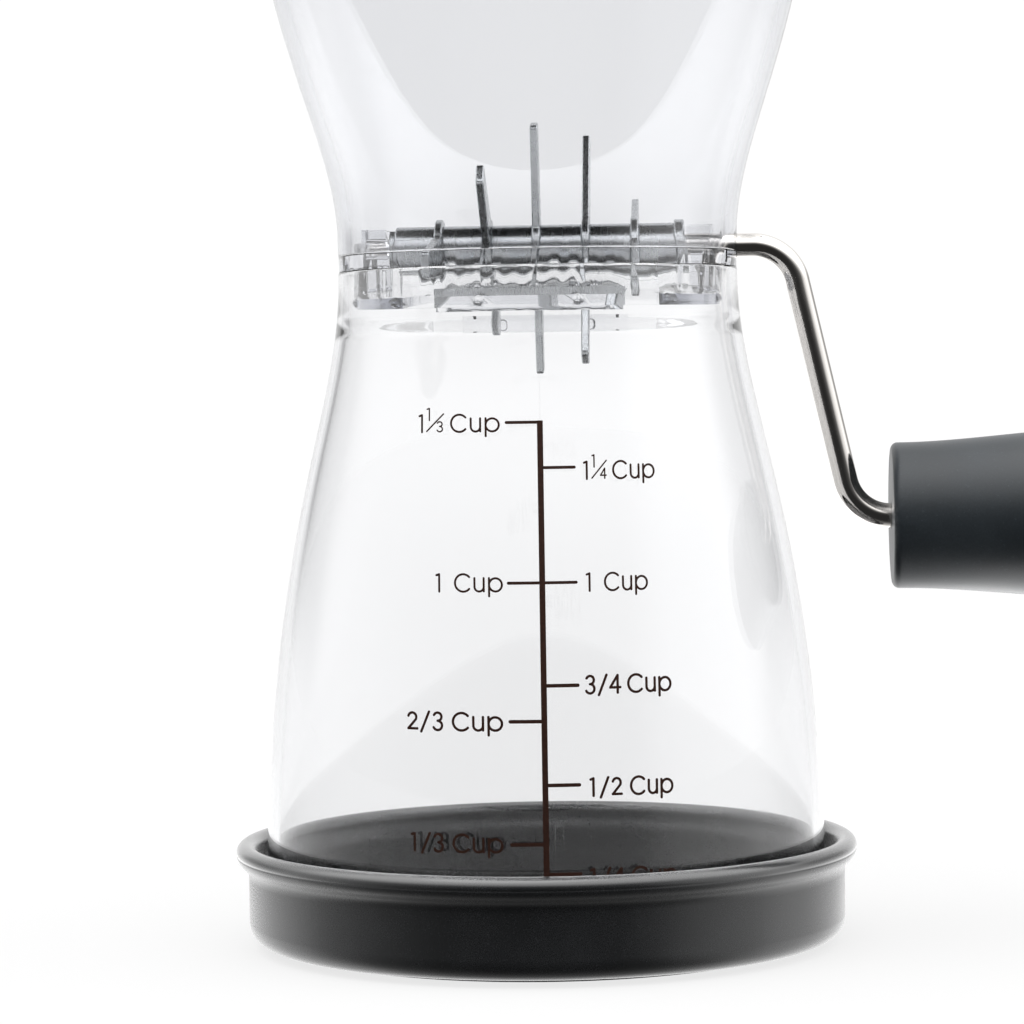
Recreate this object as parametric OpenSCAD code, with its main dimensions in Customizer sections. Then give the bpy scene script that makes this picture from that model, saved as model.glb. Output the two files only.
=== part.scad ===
// Hand-crank nut chopper: a clear hopper over a clear measuring cup, with a tine rotor in the waist.
// Z is up, the origin is the centre of the foot pad's underside, and the crank leaves the waist along +X.

/* [Body] */
// Outer radius of the waist, where the hopper meets the cup
waist_r = 29.5; // [28.5:0.5:33]
// Height of the cup
cup_h = 96.4; // [85:0.2:120]
// Outer radius of the cup at its lower edge
cup_r = 41.5; // [38:0.5:48]
// Wall of the cup
cup_wall = 1.6; // [1.4:0.1:2.8]
// Wall of the cup's neck
neck_wall = 1.7; // [1.4:0.1:2]
// Depth of the straight bore in the cup's neck
neck_depth = 8.4; // [8:0.2:12]
// Height of the hopper, from its lower edge to its rim
hopper_h = 74.2; // [64:0.2:90]
// Outer radius of the hopper's rim
hopper_r = 42; // [38:0.5:48]
// Wall of the hopper
hopper_wall = 2; // [1.6:0.1:2.4]
// Height of the hopper's straight rim
hopper_rim_h = 6; // [4:0.5:12]
// Round on the two edges of the hopper's rim
hopper_edge_r = 0.6; // [0.4:0.1:0.7]

/* [Base and lid] */
// Thickness of the base's floor
base_floor = 2.4; // [2:0.1:4]
// Height of the base, from its underside to the top of its rim
base_h = 14.8; // [12:0.2:20]
// Wall of the base and of the lid's skirt
cap_wall = 1.8; // [1.4:0.1:2.6]
// Gap between the cup and the wall of the base
base_gap = 0.9; // [0.6:0.1:1.5]
// How far the rolled rim stands out from the wall
rim_out = 1.8; // [1:0.1:3]
// Radius of the rolled rim's top
rim_r = 1.5; // [0.9:0.05:1.7]
// Height over which the wall flares into the rolled rim
flare_h = 3.6; // [3:0.2:6]
// Round on the outer corner of the base and of the lid
corner_r = 3; // [1.5:0.1:4]
// Fillet inside, between the floor and the wall
floor_fillet = 0.5; // [0.2:0.1:0.5]
// Number of centring ribs in the base
rib_n = 8; // [4:1:12]
// Width of a centring rib
rib_w = 1.4; // [1:0.1:2.5]
// Thickness of the lid's top
lid_top = 2.4; // [1.8:0.1:4]
// Height of the lid
lid_h = 13; // [11:0.5:20]
// Depth of the dish in the lid's top
dish_depth = 0.6; // [0.3:0.1:1]
// Width of the raised border round the dish
dish_border = 5; // [4:0.5:10]
// Length of the lid's plug inside the hopper's rim
plug_h = 3.5; // [2:0.5:5]
// Wall of the lid's plug
plug_wall = 1.6; // [1.2:0.1:2]
// Radius of the foot pad
pad_r = 38; // [30:0.5:39]
// Thickness of the foot pad
pad_t = 1.6; // [1.2:0.1:2.4]
// Depth of the foot pad's recess in the base
pad_recess = 0.8; // [0.5:0.1:1]

/* [Carrier ring] */
// Thickness of the flange between the cup and the hopper
flange_t = 2.2; // [1.2:0.1:2.8]
// How far the flange's edge lies inside the waist
flange_inset = 0.1; // [0:0.05:0.3]
// Wall of the ring
ring_wall = 1.6; // [1.2:0.1:2]
// Depth of the ring below its flange
ring_depth = 6; // [5.6:0.1:7.5]
// How far the front and back tabs reach below the ring
tab_drop = 0.6; // [0.5:0.1:1.4]
// Half of the angle that a tab spans
tab_angle = 25; // [20:1:32]
// Height of the ring's upstand in the hopper's neck
upstand_h = 1.7; // [1.2:0.1:3]
// Height of the drawn-in lead-in at the ring's lower edge
lead_h = 1.9; // [1.5:0.1:2.2]
// How far the lead-in is drawn in
lead_in = 0.3; // [0.2:0.05:0.5]
// Number of friction bumps round the ring
bump_n = 12; // [6:1:18]
// Radius of a friction bump
bump_r = 0.85; // [0.5:0.05:1.2]
// Gap between a friction bump and the ring's lower edge
bump_edge = 0.1; // [0.05:0.05:0.4]
// How far a friction bump stands out
bump_out = 0.25; // [0.15:0.05:0.3]
// Thickness of the two side shelves
shelf_t = 1.6; // [1.2:0.1:2.4]
// How far a side shelf reaches inward past its bearing cheek
shelf_reach = 4.5; // [2:0.5:5.5]
// Width of a bearing cheek
cheek_w = 9; // [7:0.5:12]
// Thickness of a bearing cheek
cheek_t = 3.6; // [3:0.1:4.5]
// Height of a bearing cheek above the shaft's axis
cheek_rise = 3; // [2.4:0.1:5]
// Height of a comb seat above the tab's lower edge
seat_h = 2.2; // [2:0.1:3.2]
// Width of a comb seat
seat_w = 26; // [24:0.5:28]
// Angle from the middle of a comb seat to one of its stakes
stake_angle = 17; // [14:1:19]
// Gap between the head of a comb stake and the ring's wall
stake_gap = 0.3; // [0.2:0.05:0.4]
// Diameter of a comb stake
stake_d = 2; // [1.5:0.1:2.5]
// Diameter of a comb stake's head
stake_head_d = 3.2; // [2.8:0.1:4]
// Height of a comb stake's head
stake_head_h = 0.7; // [0.5:0.1:1]

/* [Combs] */
// Thickness of the comb plate
comb_t = 1.2; // [0.8:0.1:1.6]
// Width of the comb's spine, from the ring's wall inward
spine_w = 4.6; // [4:0.1:5]
// Distance from the middle of the ring to a finger's tip
finger_gap = 5; // [4.5:0.5:9]
// Width of a coarse finger
coarse_finger_w = 2.4; // [1.6:0.1:3]
// Width of a fine finger
fine_finger_w = 1.2; // [0.9:0.1:1.4]
// Distance between the two fine fingers of a pair
fine_finger_pitch = 3; // [2.4:0.1:3.2]
// Length of a finger's pointed tip
finger_point = 1.8; // [1:0.1:3]

/* [Rotor] */
// Diameter of the crank's rod
rod_d = 3.6; // [3:0.1:4.2]
// Height of the shaft's axis above the ring's flange
shaft_rise = 0.9; // [0.6:0.1:1.4]
// Number of tines
tine_n = 5; // [3:1:5]
// Distance between neighbouring tines
tine_pitch = 7.2; // [6.6:0.1:7.4]
// Reach of a tine from the shaft's axis
tine_reach = 18.8; // [14:0.1:19.2]
// Thickness of a tine
tine_t = 1.1; // [0.8:0.1:1.4]
// Width of a tine at its hub
tine_root_w = 5.4; // [4:0.1:7]
// Width of a tine at its tip
tine_tip_w = 3.4; // [2:0.1:4]
// Diameter of a tine's hub
hub_d = 9; // [8:0.1:11]
// Turn from one tine to the next
step_angle = 42; // [20:1:60]
// Turn of the middle tine from upright
start_angle = 14; // [0:1:30]
// Distance across the shaft's two flats
flat_w = 2.8; // [2.4:0.1:2.9]
// Outer diameter of a spacer
spacer_d = 7; // [6:0.1:8]
// Thickness of the shaft's clip
clip_t = 0.8; // [0.6:0.1:1.2]
// Outer diameter of the shaft's clip
clip_d = 7; // [6:0.1:8]
// Diameter of the groove that holds the clip
groove_d = 2.4; // [2:0.1:2.6]
// Opening angle of the clip
clip_mouth = 70; // [50:1:100]
// Thickness of the shaft's collar
collar_t = 1.5; // [1:0.1:2.4]
// Diameter of the shaft's collar
collar_d = 8; // [7:0.1:9]

/* [Crank] */
// Throw of the crank, from the shaft's axis to the grip's axis
throw_r = 40.1; // [34:0.1:48]
// Lean of the crank's arm away from the waist
arm_lean = 12.8; // [5:0.2:20]
// Radius of the rod's bends, at the rod's middle
bend_r = 6.8; // [5:0.1:8]
// Straight stretch of rod outside the waist
waist_run = 2.2; // [1:0.1:6]
// How much thinner the rod is in its bends
bend_thinning = 0.04; // [0.02:0.01:0.1]

/* [Grip] */
// Length of the grip
grip_l = 56; // [48:1:70]
// Radius of the grip at its inner end
grip_r = 10.6; // [9:0.1:12]
// Largest radius of the grip
grip_max_r = 13; // [12.5:0.1:15]
// Distance from the inner end to the widest place
grip_swell = 40; // [34:1:42]
// Round on the grip's inner edge
grip_edge_r = 1; // [0.6:0.1:1.5]
// Radius of the grip's end cap
end_cap_r = 6; // [5.4:0.1:7]
// Width of the grip's flat end round its end cap
end_lip = 1; // [0.6:0.1:2]
// Thickness of the grip's end cap
end_cap_t = 3; // [2:0.1:4]
// Radius of the pocket behind the end cap
pocket_r = 5; // [4.8:0.1:5.2]
// Depth of the pocket behind the end cap
pocket_depth = 7; // [5:0.5:9]
// Radius of the grip's retaining washer
washer_r = 4.2; // [3.5:0.1:4.4]
// Thickness of the grip's retaining washer
washer_t = 1; // [0.6:0.1:1.5]
// Diameter of the rivet head that holds the washer
rivet_d = 5.4; // [4.8:0.1:6]
// Height of the rivet head that holds the washer
rivet_h = 1; // [0.6:0.1:1.5]

/* [Clearances] */
// Radial running gap of the rod in its bearings
run_gap = 0.05; // [0.03:0.01:0.1]
// Gap between pieces that lift apart
lift_gap = 0.4; // [0.3:0.05:0.6]
// Gap between the ring and the cup's neck
neck_gap = 0.6; // [0.5:0.05:0.8]
// End gap of the rotor between the bearing cheeks
end_gap = 0.3; // [0.2:0.05:0.5]
// Gap of a piece fitted in or on its seat
fit_gap = 0.05; // [0.02:0.01:0.1]
// Gap of the hopper's notch over the rod
notch_gap = 0.35; // [0.3:0.05:0.6]

/* [Hidden] */
$fn = 96;
CURVE_STEPS = 18;
ARC_STEPS = 6;
RIM_ANGLE = 15;
OVERLAP = 0.4;
CUT = 1;

charcoal = "#2e3033";
slate = "#454c52";
clear = [0.86, 0.9, 0.93, 0.35];
steel = "#c4c6c8";
black_rubber = "#1b1b1c";

// Heights of the stacked pieces
base_z = pad_t - pad_recess;
cup_z0 = base_z + base_floor;
cup_z1 = cup_z0 + cup_h;
hopper_z0 = cup_z1 + flange_t;
hopper_z1 = hopper_z0 + hopper_h;
lid_z1 = hopper_z1 + lid_top;
shaft_z = hopper_z0 + shaft_rise;

// Outlines of the cup and the hopper, each one curve that is upright at both ends
waist_run_down = 1.1;
waist_pull_down = 20;
foot_pull = 57.4;
waist_run_up = 2.2;
waist_pull_up = 15.8;
rim_pull = 34.1;

// Bead inside the cup, at the lower end of the neck's bore
stop_out = 0.3;
stop_h = 1.6;

// Ends of the pulls on the grip's curves, as shares of the lengths that they span
waist_share = 0.3;
swell_share = 0.6;
tail_share = 0.6;

// Radii of the neck and the ring
neck_bore_r = waist_r - neck_wall;
ring_r = neck_bore_r - neck_gap;
ring_in_r = ring_r - ring_wall;
upstand_r = waist_r - hopper_wall - lift_gap;
flange_r = waist_r - flange_inset;
ring_low_z = cup_z1 - ring_depth;
tab_z = ring_low_z - tab_drop;
seat_z = tab_z + seat_h;
bump_z = ring_low_z + bump_r + bump_edge;
seat_y = ring_in_r - spine_w;
stake_r = ring_in_r - stake_gap - stake_head_d / 2;
stake_x = stake_r * sin(stake_angle);
stake_y = stake_r * cos(stake_angle);

// Places along the shaft
rod_r = rod_d / 2;
cheek_x = ring_in_r - cheek_t;
bore_end_x = -ring_in_r + end_gap;
rod_start_x = bore_end_x + end_gap;
clip_x = -cheek_x + end_gap;
stack_x0 = clip_x + clip_t;
collar_x = cheek_x - end_gap - collar_t;
shelf_x = cheek_x - shelf_reach;
tine_x = [for (i = [0:tine_n - 1]) (i - (tine_n - 1) / 2) * tine_pitch];
spacer_x = concat(
    [[stack_x0, tine_x[0] - tine_t / 2]],
    [for (i = [1:tine_n - 1]) [tine_x[i - 1] + tine_t / 2, tine_x[i] - tine_t / 2]],
    [[tine_x[tine_n - 1] + tine_t / 2, collar_x]]
);

// Centre line of the crank
bend_angle = 90 - arm_lean;
bend_dx = bend_r * sin(bend_angle);
bend_dz = bend_r * (1 - cos(bend_angle));
arm_l = (throw_r - 2 * bend_dz) / cos(arm_lean);
bend_lap = sqrt(bend_thinning * bend_r) / 2;
bend_1_x = waist_r + waist_run;
arm_x = bend_1_x + bend_dx;
arm_end_x = arm_x + arm_l * sin(arm_lean);
journal_x = arm_end_x + bend_dx;
journal_z = shaft_z - throw_r;
grip_x = journal_x + end_gap;
grip_end_x = grip_x + grip_l;
cap_x = grip_end_x - end_cap_t;
pocket_x = cap_x - pocket_depth;
washer_x = pocket_x + end_gap;
rivet_x = washer_x + washer_t;

// Points along a cubic curve with the four control points p
function curve(p) = [for (i = [0:CURVE_STEPS]) let (t = i / CURVE_STEPS, s = 1 - t)
    s * s * s * p[0] + 3 * s * s * t * p[1] + 3 * s * t * t * p[2] + t * t * t * p[3]];

// Points along an arc about c from angle a0 to a1
function arc(c, r, a0, a1) = [for (i = [0:ARC_STEPS]) let (a = a0 + (a1 - a0) * i / ARC_STEPS)
    c + r * [cos(a), sin(a)]];

function reversed(p) = [for (i = [len(p) - 1:-1:0]) p[i]];

cup_curve = curve([
    [waist_r, cup_z1 - waist_run_down],
    [waist_r, cup_z1 - waist_run_down - waist_pull_down],
    [cup_r, cup_z0 + foot_pull],
    [cup_r, cup_z0]
]);
hopper_curve = curve([
    [waist_r, hopper_z0 + waist_run_up],
    [waist_r, hopper_z0 + waist_run_up + waist_pull_up],
    [hopper_r, hopper_z1 - hopper_rim_h - rim_pull],
    [hopper_r, hopper_z1 - hopper_rim_h]
]);

// A round bar along X at the origin's height
module bar_x(x0, x1, d) {
    translate([x0, 0, 0])
        rotate([0, 90, 0])
            cylinder(d = d, h = x1 - x0);
}

// A shallow dish with a rolled rim: floor down, rim up, standing on z = 0
module rimmed_dish(in_r, h, floor_t) {
    out_r = in_r + cap_wall;
    rim_out_r = out_r + rim_out;
    rim_in_r = rim_out_r - 2 * rim_r;
    rim_z = h - rim_r;
    flare_z = rim_z - flare_h;
    mid_z = (flare_z + rim_z) / 2;
    rotate_extrude()
        polygon(concat(
            [[0, 0]],
            arc([out_r - corner_r, corner_r], corner_r, -90, 0),
            curve([[out_r, flare_z], [out_r, mid_z], [rim_out_r, mid_z], [rim_out_r, rim_z]]),
            arc([rim_out_r - rim_r, rim_z], rim_r, RIM_ANGLE, 180 - RIM_ANGLE),
            curve([[rim_in_r, rim_z], [rim_in_r, mid_z], [in_r, mid_z], [in_r, flare_z]]),
            arc([in_r - floor_fillet, floor_t + floor_fillet], floor_fillet, 0, -90),
            [[0, floor_t]]
        ));
}

module base_cap() {
    in_r = cup_r + base_gap;
    rib_h = base_h - base_floor - flare_h;
    color(charcoal)
        translate([0, 0, base_z]) {
            difference() {
                rimmed_dish(in_r, base_h, base_floor);
                translate([0, 0, -CUT])
                    cylinder(r = pad_r + fit_gap, h = pad_recess + CUT);
            }
            for (i = [0:rib_n - 1])
                rotate([0, 0, 360 * i / rib_n])
                    translate([cup_r + lift_gap, -rib_w / 2, base_floor - OVERLAP])
                        cube([base_gap - lift_gap + OVERLAP, rib_w, rib_h + OVERLAP]);
        }
}

module foot_pad() {
    color(black_rubber)
        cylinder(r = pad_r, h = pad_t);
}

module cup() {
    stop_z = cup_z1 - neck_depth;
    inside = [for (p = cup_curve)
        if (p[0] - cup_wall > neck_bore_r && p[1] < stop_z - stop_h) [p[0] - cup_wall, p[1]]];
    color(clear)
        rotate_extrude()
            polygon(concat(
                [[waist_r, cup_z1]],
                cup_curve,
                reversed(inside),
                [
                    [neck_bore_r, stop_z - stop_h],
                    [neck_bore_r - stop_out, stop_z - stop_h / 2],
                    [neck_bore_r, stop_z],
                    [neck_bore_r, cup_z1]
                ]
            ));
}

// A block that fills the ring's inside where the box [x0, x1] by [y0, y1] covers it
module ring_block(x0, x1, y0, y1, z0, z1) {
    intersection() {
        translate([0, 0, z0])
            cylinder(r = ring_in_r + OVERLAP, h = z1 - z0);
        translate([x0, y0, z0 - CUT])
            cube([x1 - x0, y1 - y0, z1 - z0 + 2 * CUT]);
    }
}

module ring_wall_turned() {
    rotate_extrude()
        polygon([
            [ring_in_r, ring_low_z],
            [ring_r - lead_in, ring_low_z],
            [ring_r - lead_in, ring_low_z + lead_h],
            [ring_r, ring_low_z + lead_h],
            [ring_r, cup_z1],
            [flange_r, cup_z1],
            [flange_r, hopper_z0],
            [upstand_r, hopper_z0],
            [upstand_r, hopper_z0 + upstand_h],
            [ring_in_r, hopper_z0 + upstand_h]
        ]);
}

module friction_bumps() {
    difference() {
        for (i = [0:bump_n - 1])
            rotate([0, 0, 360 * (i + 0.5) / bump_n])
                translate([ring_r + bump_out - bump_r, 0, bump_z])
                    sphere(r = bump_r);
        translate([0, 0, ring_low_z])
            cylinder(r = ring_r - ring_wall / 2, h = ring_depth);
    }
}

module comb_seat() {
    rotate([0, 0, -90 - tab_angle])
        rotate_extrude(angle = 2 * tab_angle)
            translate([ring_in_r, tab_z])
                square([ring_wall - 2 * lead_in, tab_drop + OVERLAP]);
    ring_block(-seat_w / 2, seat_w / 2, -waist_r, -seat_y, tab_z, seat_z);
    for (side = [-1, 1])
        translate([side * stake_x, -stake_y, seat_z - OVERLAP]) {
            cylinder(d = stake_d, h = OVERLAP + comb_t + stake_head_h);
            translate([0, 0, OVERLAP + comb_t])
                cylinder(d = stake_head_d, h = stake_head_h);
        }
}

module carrier_ring() {
    cheek_top = shaft_z + cheek_rise;
    color(clear)
        difference() {
            union() {
                ring_wall_turned();
                friction_bumps();
                comb_seat();
                rotate([0, 0, 180])
                    comb_seat();
                for (side = [0, 180])
                    rotate([0, 0, side]) {
                        ring_block(shelf_x, waist_r, -waist_r, waist_r, ring_low_z, ring_low_z + shelf_t);
                        ring_block(cheek_x, waist_r, -cheek_w / 2, cheek_w / 2, ring_low_z, cheek_top);
                    }
            }
            translate([0, 0, shaft_z]) {
                bar_x(bore_end_x, 0, rod_d + 2 * run_gap);
                bar_x(0, waist_r + CUT, rod_d + 2 * run_gap);
                translate([0, -rod_r - run_gap, 0])
                    cube([waist_r + CUT, rod_d + 2 * run_gap, cheek_rise + CUT]);
            }
        }
}

// A finger that points along +Y from the spine, centred on x
module finger(x, w) {
    translate([x, -seat_y])
        polygon([
            [-w / 2, -OVERLAP],
            [w / 2, -OVERLAP],
            [w / 2, seat_y - finger_gap - finger_point],
            [w / 6, seat_y - finger_gap],
            [-w / 6, seat_y - finger_gap],
            [-w / 2, seat_y - finger_gap - finger_point]
        ]);
}

module comb(finger_x, finger_w) {
    translate([0, 0, seat_z])
        linear_extrude(height = comb_t)
            difference() {
                union() {
                    intersection() {
                        circle(r = ring_in_r - fit_gap);
                        translate([-seat_w / 2, -waist_r])
                            square([seat_w, waist_r - seat_y]);
                    }
                    for (x = finger_x)
                        finger(x, finger_w);
                }
                for (side = [-1, 1])
                    translate([side * stake_x, -stake_y])
                        circle(d = stake_d + 2 * fit_gap);
            }
}

gap_x = [for (i = [1:tine_n - 1]) (tine_x[i - 1] + tine_x[i]) / 2];

module coarse_comb() {
    color(steel)
        comb(gap_x, coarse_finger_w);
}

module fine_comb() {
    pair_x = [for (x = gap_x, side = [-1, 1]) x + side * fine_finger_pitch / 2];
    color(steel)
        rotate([0, 0, 180])
            comb(pair_x, fine_finger_w);
}

module hopper() {
    inside = [for (p = hopper_curve) [p[0] - hopper_wall, p[1]]];
    edge_z = hopper_z1 - hopper_edge_r;
    notch_r = rod_r + notch_gap;
    color(clear)
        difference() {
            rotate_extrude()
                polygon(concat(
                    [[waist_r - hopper_wall, hopper_z0], [waist_r, hopper_z0]],
                    hopper_curve,
                    arc([hopper_r - hopper_edge_r, edge_z], hopper_edge_r, 0, 90),
                    arc([hopper_r - hopper_wall + hopper_edge_r, edge_z], hopper_edge_r, 90, 180),
                    reversed(inside)
                ));
            translate([0, 0, shaft_z])
                bar_x(upstand_r - ring_wall, waist_r + CUT, 2 * notch_r);
            translate([upstand_r - ring_wall, -notch_r, hopper_z0 - CUT])
                cube([waist_r + CUT, 2 * notch_r, shaft_rise + CUT]);
        }
}

module lid() {
    plug_r = hopper_r - hopper_wall - lift_gap;
    color(charcoal)
        translate([0, 0, lid_z1])
            mirror([0, 0, 1])
                difference() {
                    union() {
                        rimmed_dish(hopper_r + lift_gap, lid_h, lid_top);
                        difference() {
                            cylinder(r = plug_r, h = lid_top + plug_h);
                            translate([0, 0, lid_top])
                                cylinder(r = plug_r - plug_wall, h = plug_h + CUT);
                        }
                    }
                    translate([0, 0, -CUT])
                        cylinder(r = hopper_r + cap_wall - dish_border, h = dish_depth + CUT);
                }
}

// A quarter bend of the rod in the XZ plane, starting at the origin along +X and turning down
module rod_bend() {
    translate([0, 0, -bend_r])
        rotate([90, 0, 0])
            rotate([0, 0, 90 - bend_angle])
                rotate_extrude(angle = bend_angle)
                    translate([bend_r, 0])
                        circle(d = rod_d - bend_thinning);
}

module crank_rod() {
    flat_cut = rod_r - flat_w / 2;
    color(steel)
        translate([0, 0, shaft_z]) {
            difference() {
                bar_x(rod_start_x, bend_1_x + bend_lap, rod_d);
                for (side = [-1, 1])
                    translate([stack_x0, side * (flat_w / 2 + flat_cut) - flat_cut, -rod_d])
                        cube([collar_x - stack_x0, 2 * flat_cut, 2 * rod_d]);
                difference() {
                    bar_x(clip_x, stack_x0, 2 * rod_d);
                    bar_x(clip_x - CUT, stack_x0 + CUT, groove_d);
                }
            }
            translate([bend_1_x, 0, 0])
                rod_bend();
            translate([arm_x, 0, -bend_dz])
                rotate([0, 180 - arm_lean, 0])
                    translate([0, 0, -bend_lap])
                        cylinder(d = rod_d, h = arm_l + 2 * bend_lap);
            translate([journal_x, 0, -throw_r])
                rotate([0, 180, 0])
                    rod_bend();
            translate([0, 0, -throw_r]) {
                bar_x(journal_x - bend_lap, rivet_x + OVERLAP, rod_d);
                bar_x(rivet_x, rivet_x + rivet_h, rivet_d);
            }
        }
}

// A double-ended tine in the YZ plane, centred on the shaft's axis
module tine(i) {
    root = tine_root_w / 2;
    tip = tine_tip_w / 2;
    arm = [[-root, 0], [root, 0], [tip, tine_reach], [-tip, tine_reach]];
    turn = start_angle - step_angle * (i - (tine_n - 1) / 2);
    color(steel)
        translate([tine_x[i] - tine_t / 2, 0, shaft_z])
            rotate([90, 0, 90])
                linear_extrude(height = tine_t)
                    difference() {
                        rotate(turn) {
                            circle(d = hub_d);
                            polygon(arm);
                            rotate(180)
                                polygon(arm);
                        }
                        intersection() {
                            circle(r = rod_r + fit_gap);
                            square([flat_w + 2 * fit_gap, 2 * rod_d], center = true);
                        }
                    }
}

module spacer(i) {
    color(steel)
        translate([0, 0, shaft_z])
            difference() {
                bar_x(spacer_x[i][0], spacer_x[i][1], spacer_d);
                bar_x(spacer_x[i][0] - CUT, spacer_x[i][1] + CUT, rod_d + 2 * fit_gap);
            }
}

module shaft_clip() {
    color(steel)
        translate([clip_x, 0, shaft_z])
            rotate([90, 0, 90])
                rotate([0, 0, 90 + clip_mouth / 2])
                    rotate_extrude(angle = 360 - clip_mouth)
                        translate([groove_d / 2 + fit_gap, 0])
                            square([(clip_d - groove_d) / 2 - fit_gap, clip_t]);
}

module shaft_collar() {
    color(steel)
        translate([0, 0, shaft_z])
            difference() {
                bar_x(collar_x, collar_x + collar_t, collar_d);
                bar_x(collar_x - CUT, collar_x + collar_t + CUT, rod_d + 2 * fit_gap);
            }
}

// The grip's turned outline, with its inner end on z = 0
module grip_turned() {
    tail_l = grip_l - grip_swell;
    rotate_extrude()
        polygon(concat(
            [[0, 0]],
            arc([grip_r - grip_edge_r, grip_edge_r], grip_edge_r, -90, 0),
            curve([
                [grip_r, grip_edge_r],
                [grip_r, grip_swell * waist_share],
                [grip_max_r, grip_swell * swell_share],
                [grip_max_r, grip_swell]
            ]),
            curve([
                [grip_max_r, grip_swell],
                [grip_max_r, grip_swell + tail_l * tail_share],
                [(grip_max_r + end_cap_r + end_lip) / 2, grip_l],
                [end_cap_r + end_lip, grip_l]
            ]),
            [[0, grip_l]]
        ));
}

module grip() {
    color(slate)
        translate([0, 0, journal_z])
            difference() {
                translate([grip_x, 0, 0])
                    rotate([0, 90, 0])
                        grip_turned();
                bar_x(grip_x - CUT, pocket_x + CUT, rod_d + 2 * run_gap);
                bar_x(pocket_x, cap_x + CUT, 2 * pocket_r);
                bar_x(cap_x, grip_end_x + CUT, 2 * (end_cap_r + fit_gap));
            }
}

module grip_washer() {
    color(steel)
        translate([0, 0, journal_z])
            difference() {
                bar_x(washer_x, rivet_x, 2 * washer_r);
                bar_x(washer_x - CUT, rivet_x + CUT, rod_d + 2 * fit_gap);
            }
}

module grip_end_cap() {
    color(slate)
        translate([0, 0, journal_z])
            bar_x(cap_x, grip_end_x, 2 * end_cap_r);
}

base_cap();
foot_pad();
cup();
carrier_ring();
coarse_comb();
fine_comb();
hopper();
lid();
crank_rod();
for (i = [0:tine_n - 1])
    tine(i);
for (i = [0:tine_n])
    spacer(i);
shaft_clip();
shaft_collar();
grip();
grip_washer();
grip_end_cap();
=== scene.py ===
"""Looks of a hand-crank nut chopper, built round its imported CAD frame.

Sizes are in millimetres in the CAD frame: Z is up, the body's axis is x = y = 0 and the crank leaves
along +X.
"""

import logging
from dataclasses import dataclass, field, replace
from enum import Enum
from math import radians
from typing import Protocol, Sequence, Union

import bmesh
import bpy
import numpy as np
from mathutils import Matrix

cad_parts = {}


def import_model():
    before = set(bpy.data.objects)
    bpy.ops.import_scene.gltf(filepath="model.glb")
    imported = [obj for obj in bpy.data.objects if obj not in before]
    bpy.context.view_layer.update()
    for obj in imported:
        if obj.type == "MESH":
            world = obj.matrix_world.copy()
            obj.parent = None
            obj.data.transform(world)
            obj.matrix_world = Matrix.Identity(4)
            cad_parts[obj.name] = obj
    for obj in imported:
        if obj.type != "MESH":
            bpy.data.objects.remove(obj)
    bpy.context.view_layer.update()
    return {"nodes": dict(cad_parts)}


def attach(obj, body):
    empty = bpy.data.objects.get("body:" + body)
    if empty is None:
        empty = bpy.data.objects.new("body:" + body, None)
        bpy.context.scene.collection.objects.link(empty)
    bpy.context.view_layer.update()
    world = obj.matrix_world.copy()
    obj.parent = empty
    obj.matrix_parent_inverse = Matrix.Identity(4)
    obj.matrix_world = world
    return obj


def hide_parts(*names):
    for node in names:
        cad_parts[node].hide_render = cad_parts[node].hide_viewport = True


MM = 0.001
MERGE_DISTANCE = 2e-7
SHARP_ANGLE = radians(38)
FLAT_ANGLE = radians(0.4)
SAME_PLACE = 1e-6
TINY = 1e-9
SUPPORT_SHARE = 0.3
LOG = logging.getLogger("nut_chopper")

Array = np.ndarray
Pair = tuple[float, float]
Triple = tuple[float, float, float]
Colour = Triple
Quad = tuple[float, float, float, float]
Glyph = tuple[list[Array], float]


def linear(code: str) -> Colour:
    """Scene-linear colour of an sRGB code: each channel through the sRGB curve.

    Args:
        code: Six hexadecimal digits, such as 2e3033.

    Returns:
        Red, green and blue.
    """
    channels = np.array([int(code[i:i + 2], 16) for i in (0, 2, 4)]) / 255
    curve = np.where(channels <= 0.04045, channels / 12.92, ((channels + 0.055) / 1.055) ** 2.4)
    return tuple(float(c) for c in curve)


def bezier(start: Sequence[float], pull: Sequence[float], push: Sequence[float], end: Sequence[float],
           steps: int = 56) -> Array:
    """Points of a cubic curve: its four points weighted by s^3, 3 s^2 t, 3 s t^2 and t^3, where s = 1 - t.

    Args:
        start: First point.
        pull: Point that the curve leaves towards.
        push: Point that the curve arrives from.
        end: Last point.
        steps: Number of spans.

    Returns:
        Array of points by two.
    """
    t = np.linspace(0, 1, steps + 1)[:, None]
    s = 1 - t
    first, second, third, fourth = (np.asarray(p, float) for p in (start, pull, push, end))
    return s ** 3 * first + 3 * s * s * t * second + 3 * s * t * t * third + t ** 3 * fourth


def bow(centre: Pair, radius: float, start: float, end: float, steps: int = 20) -> Array:
    """Points of an arc: the centre plus the radius times the cosine and sine of each angle, in degrees."""
    angle = np.radians(np.linspace(start, end, steps + 1))
    return np.asarray(centre) + radius * np.stack([np.cos(angle), np.sin(angle)], -1)


def stroke(*points: Pair) -> Array:
    """Points of a straight line or a chain of lines."""
    return np.asarray(points, float)


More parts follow.
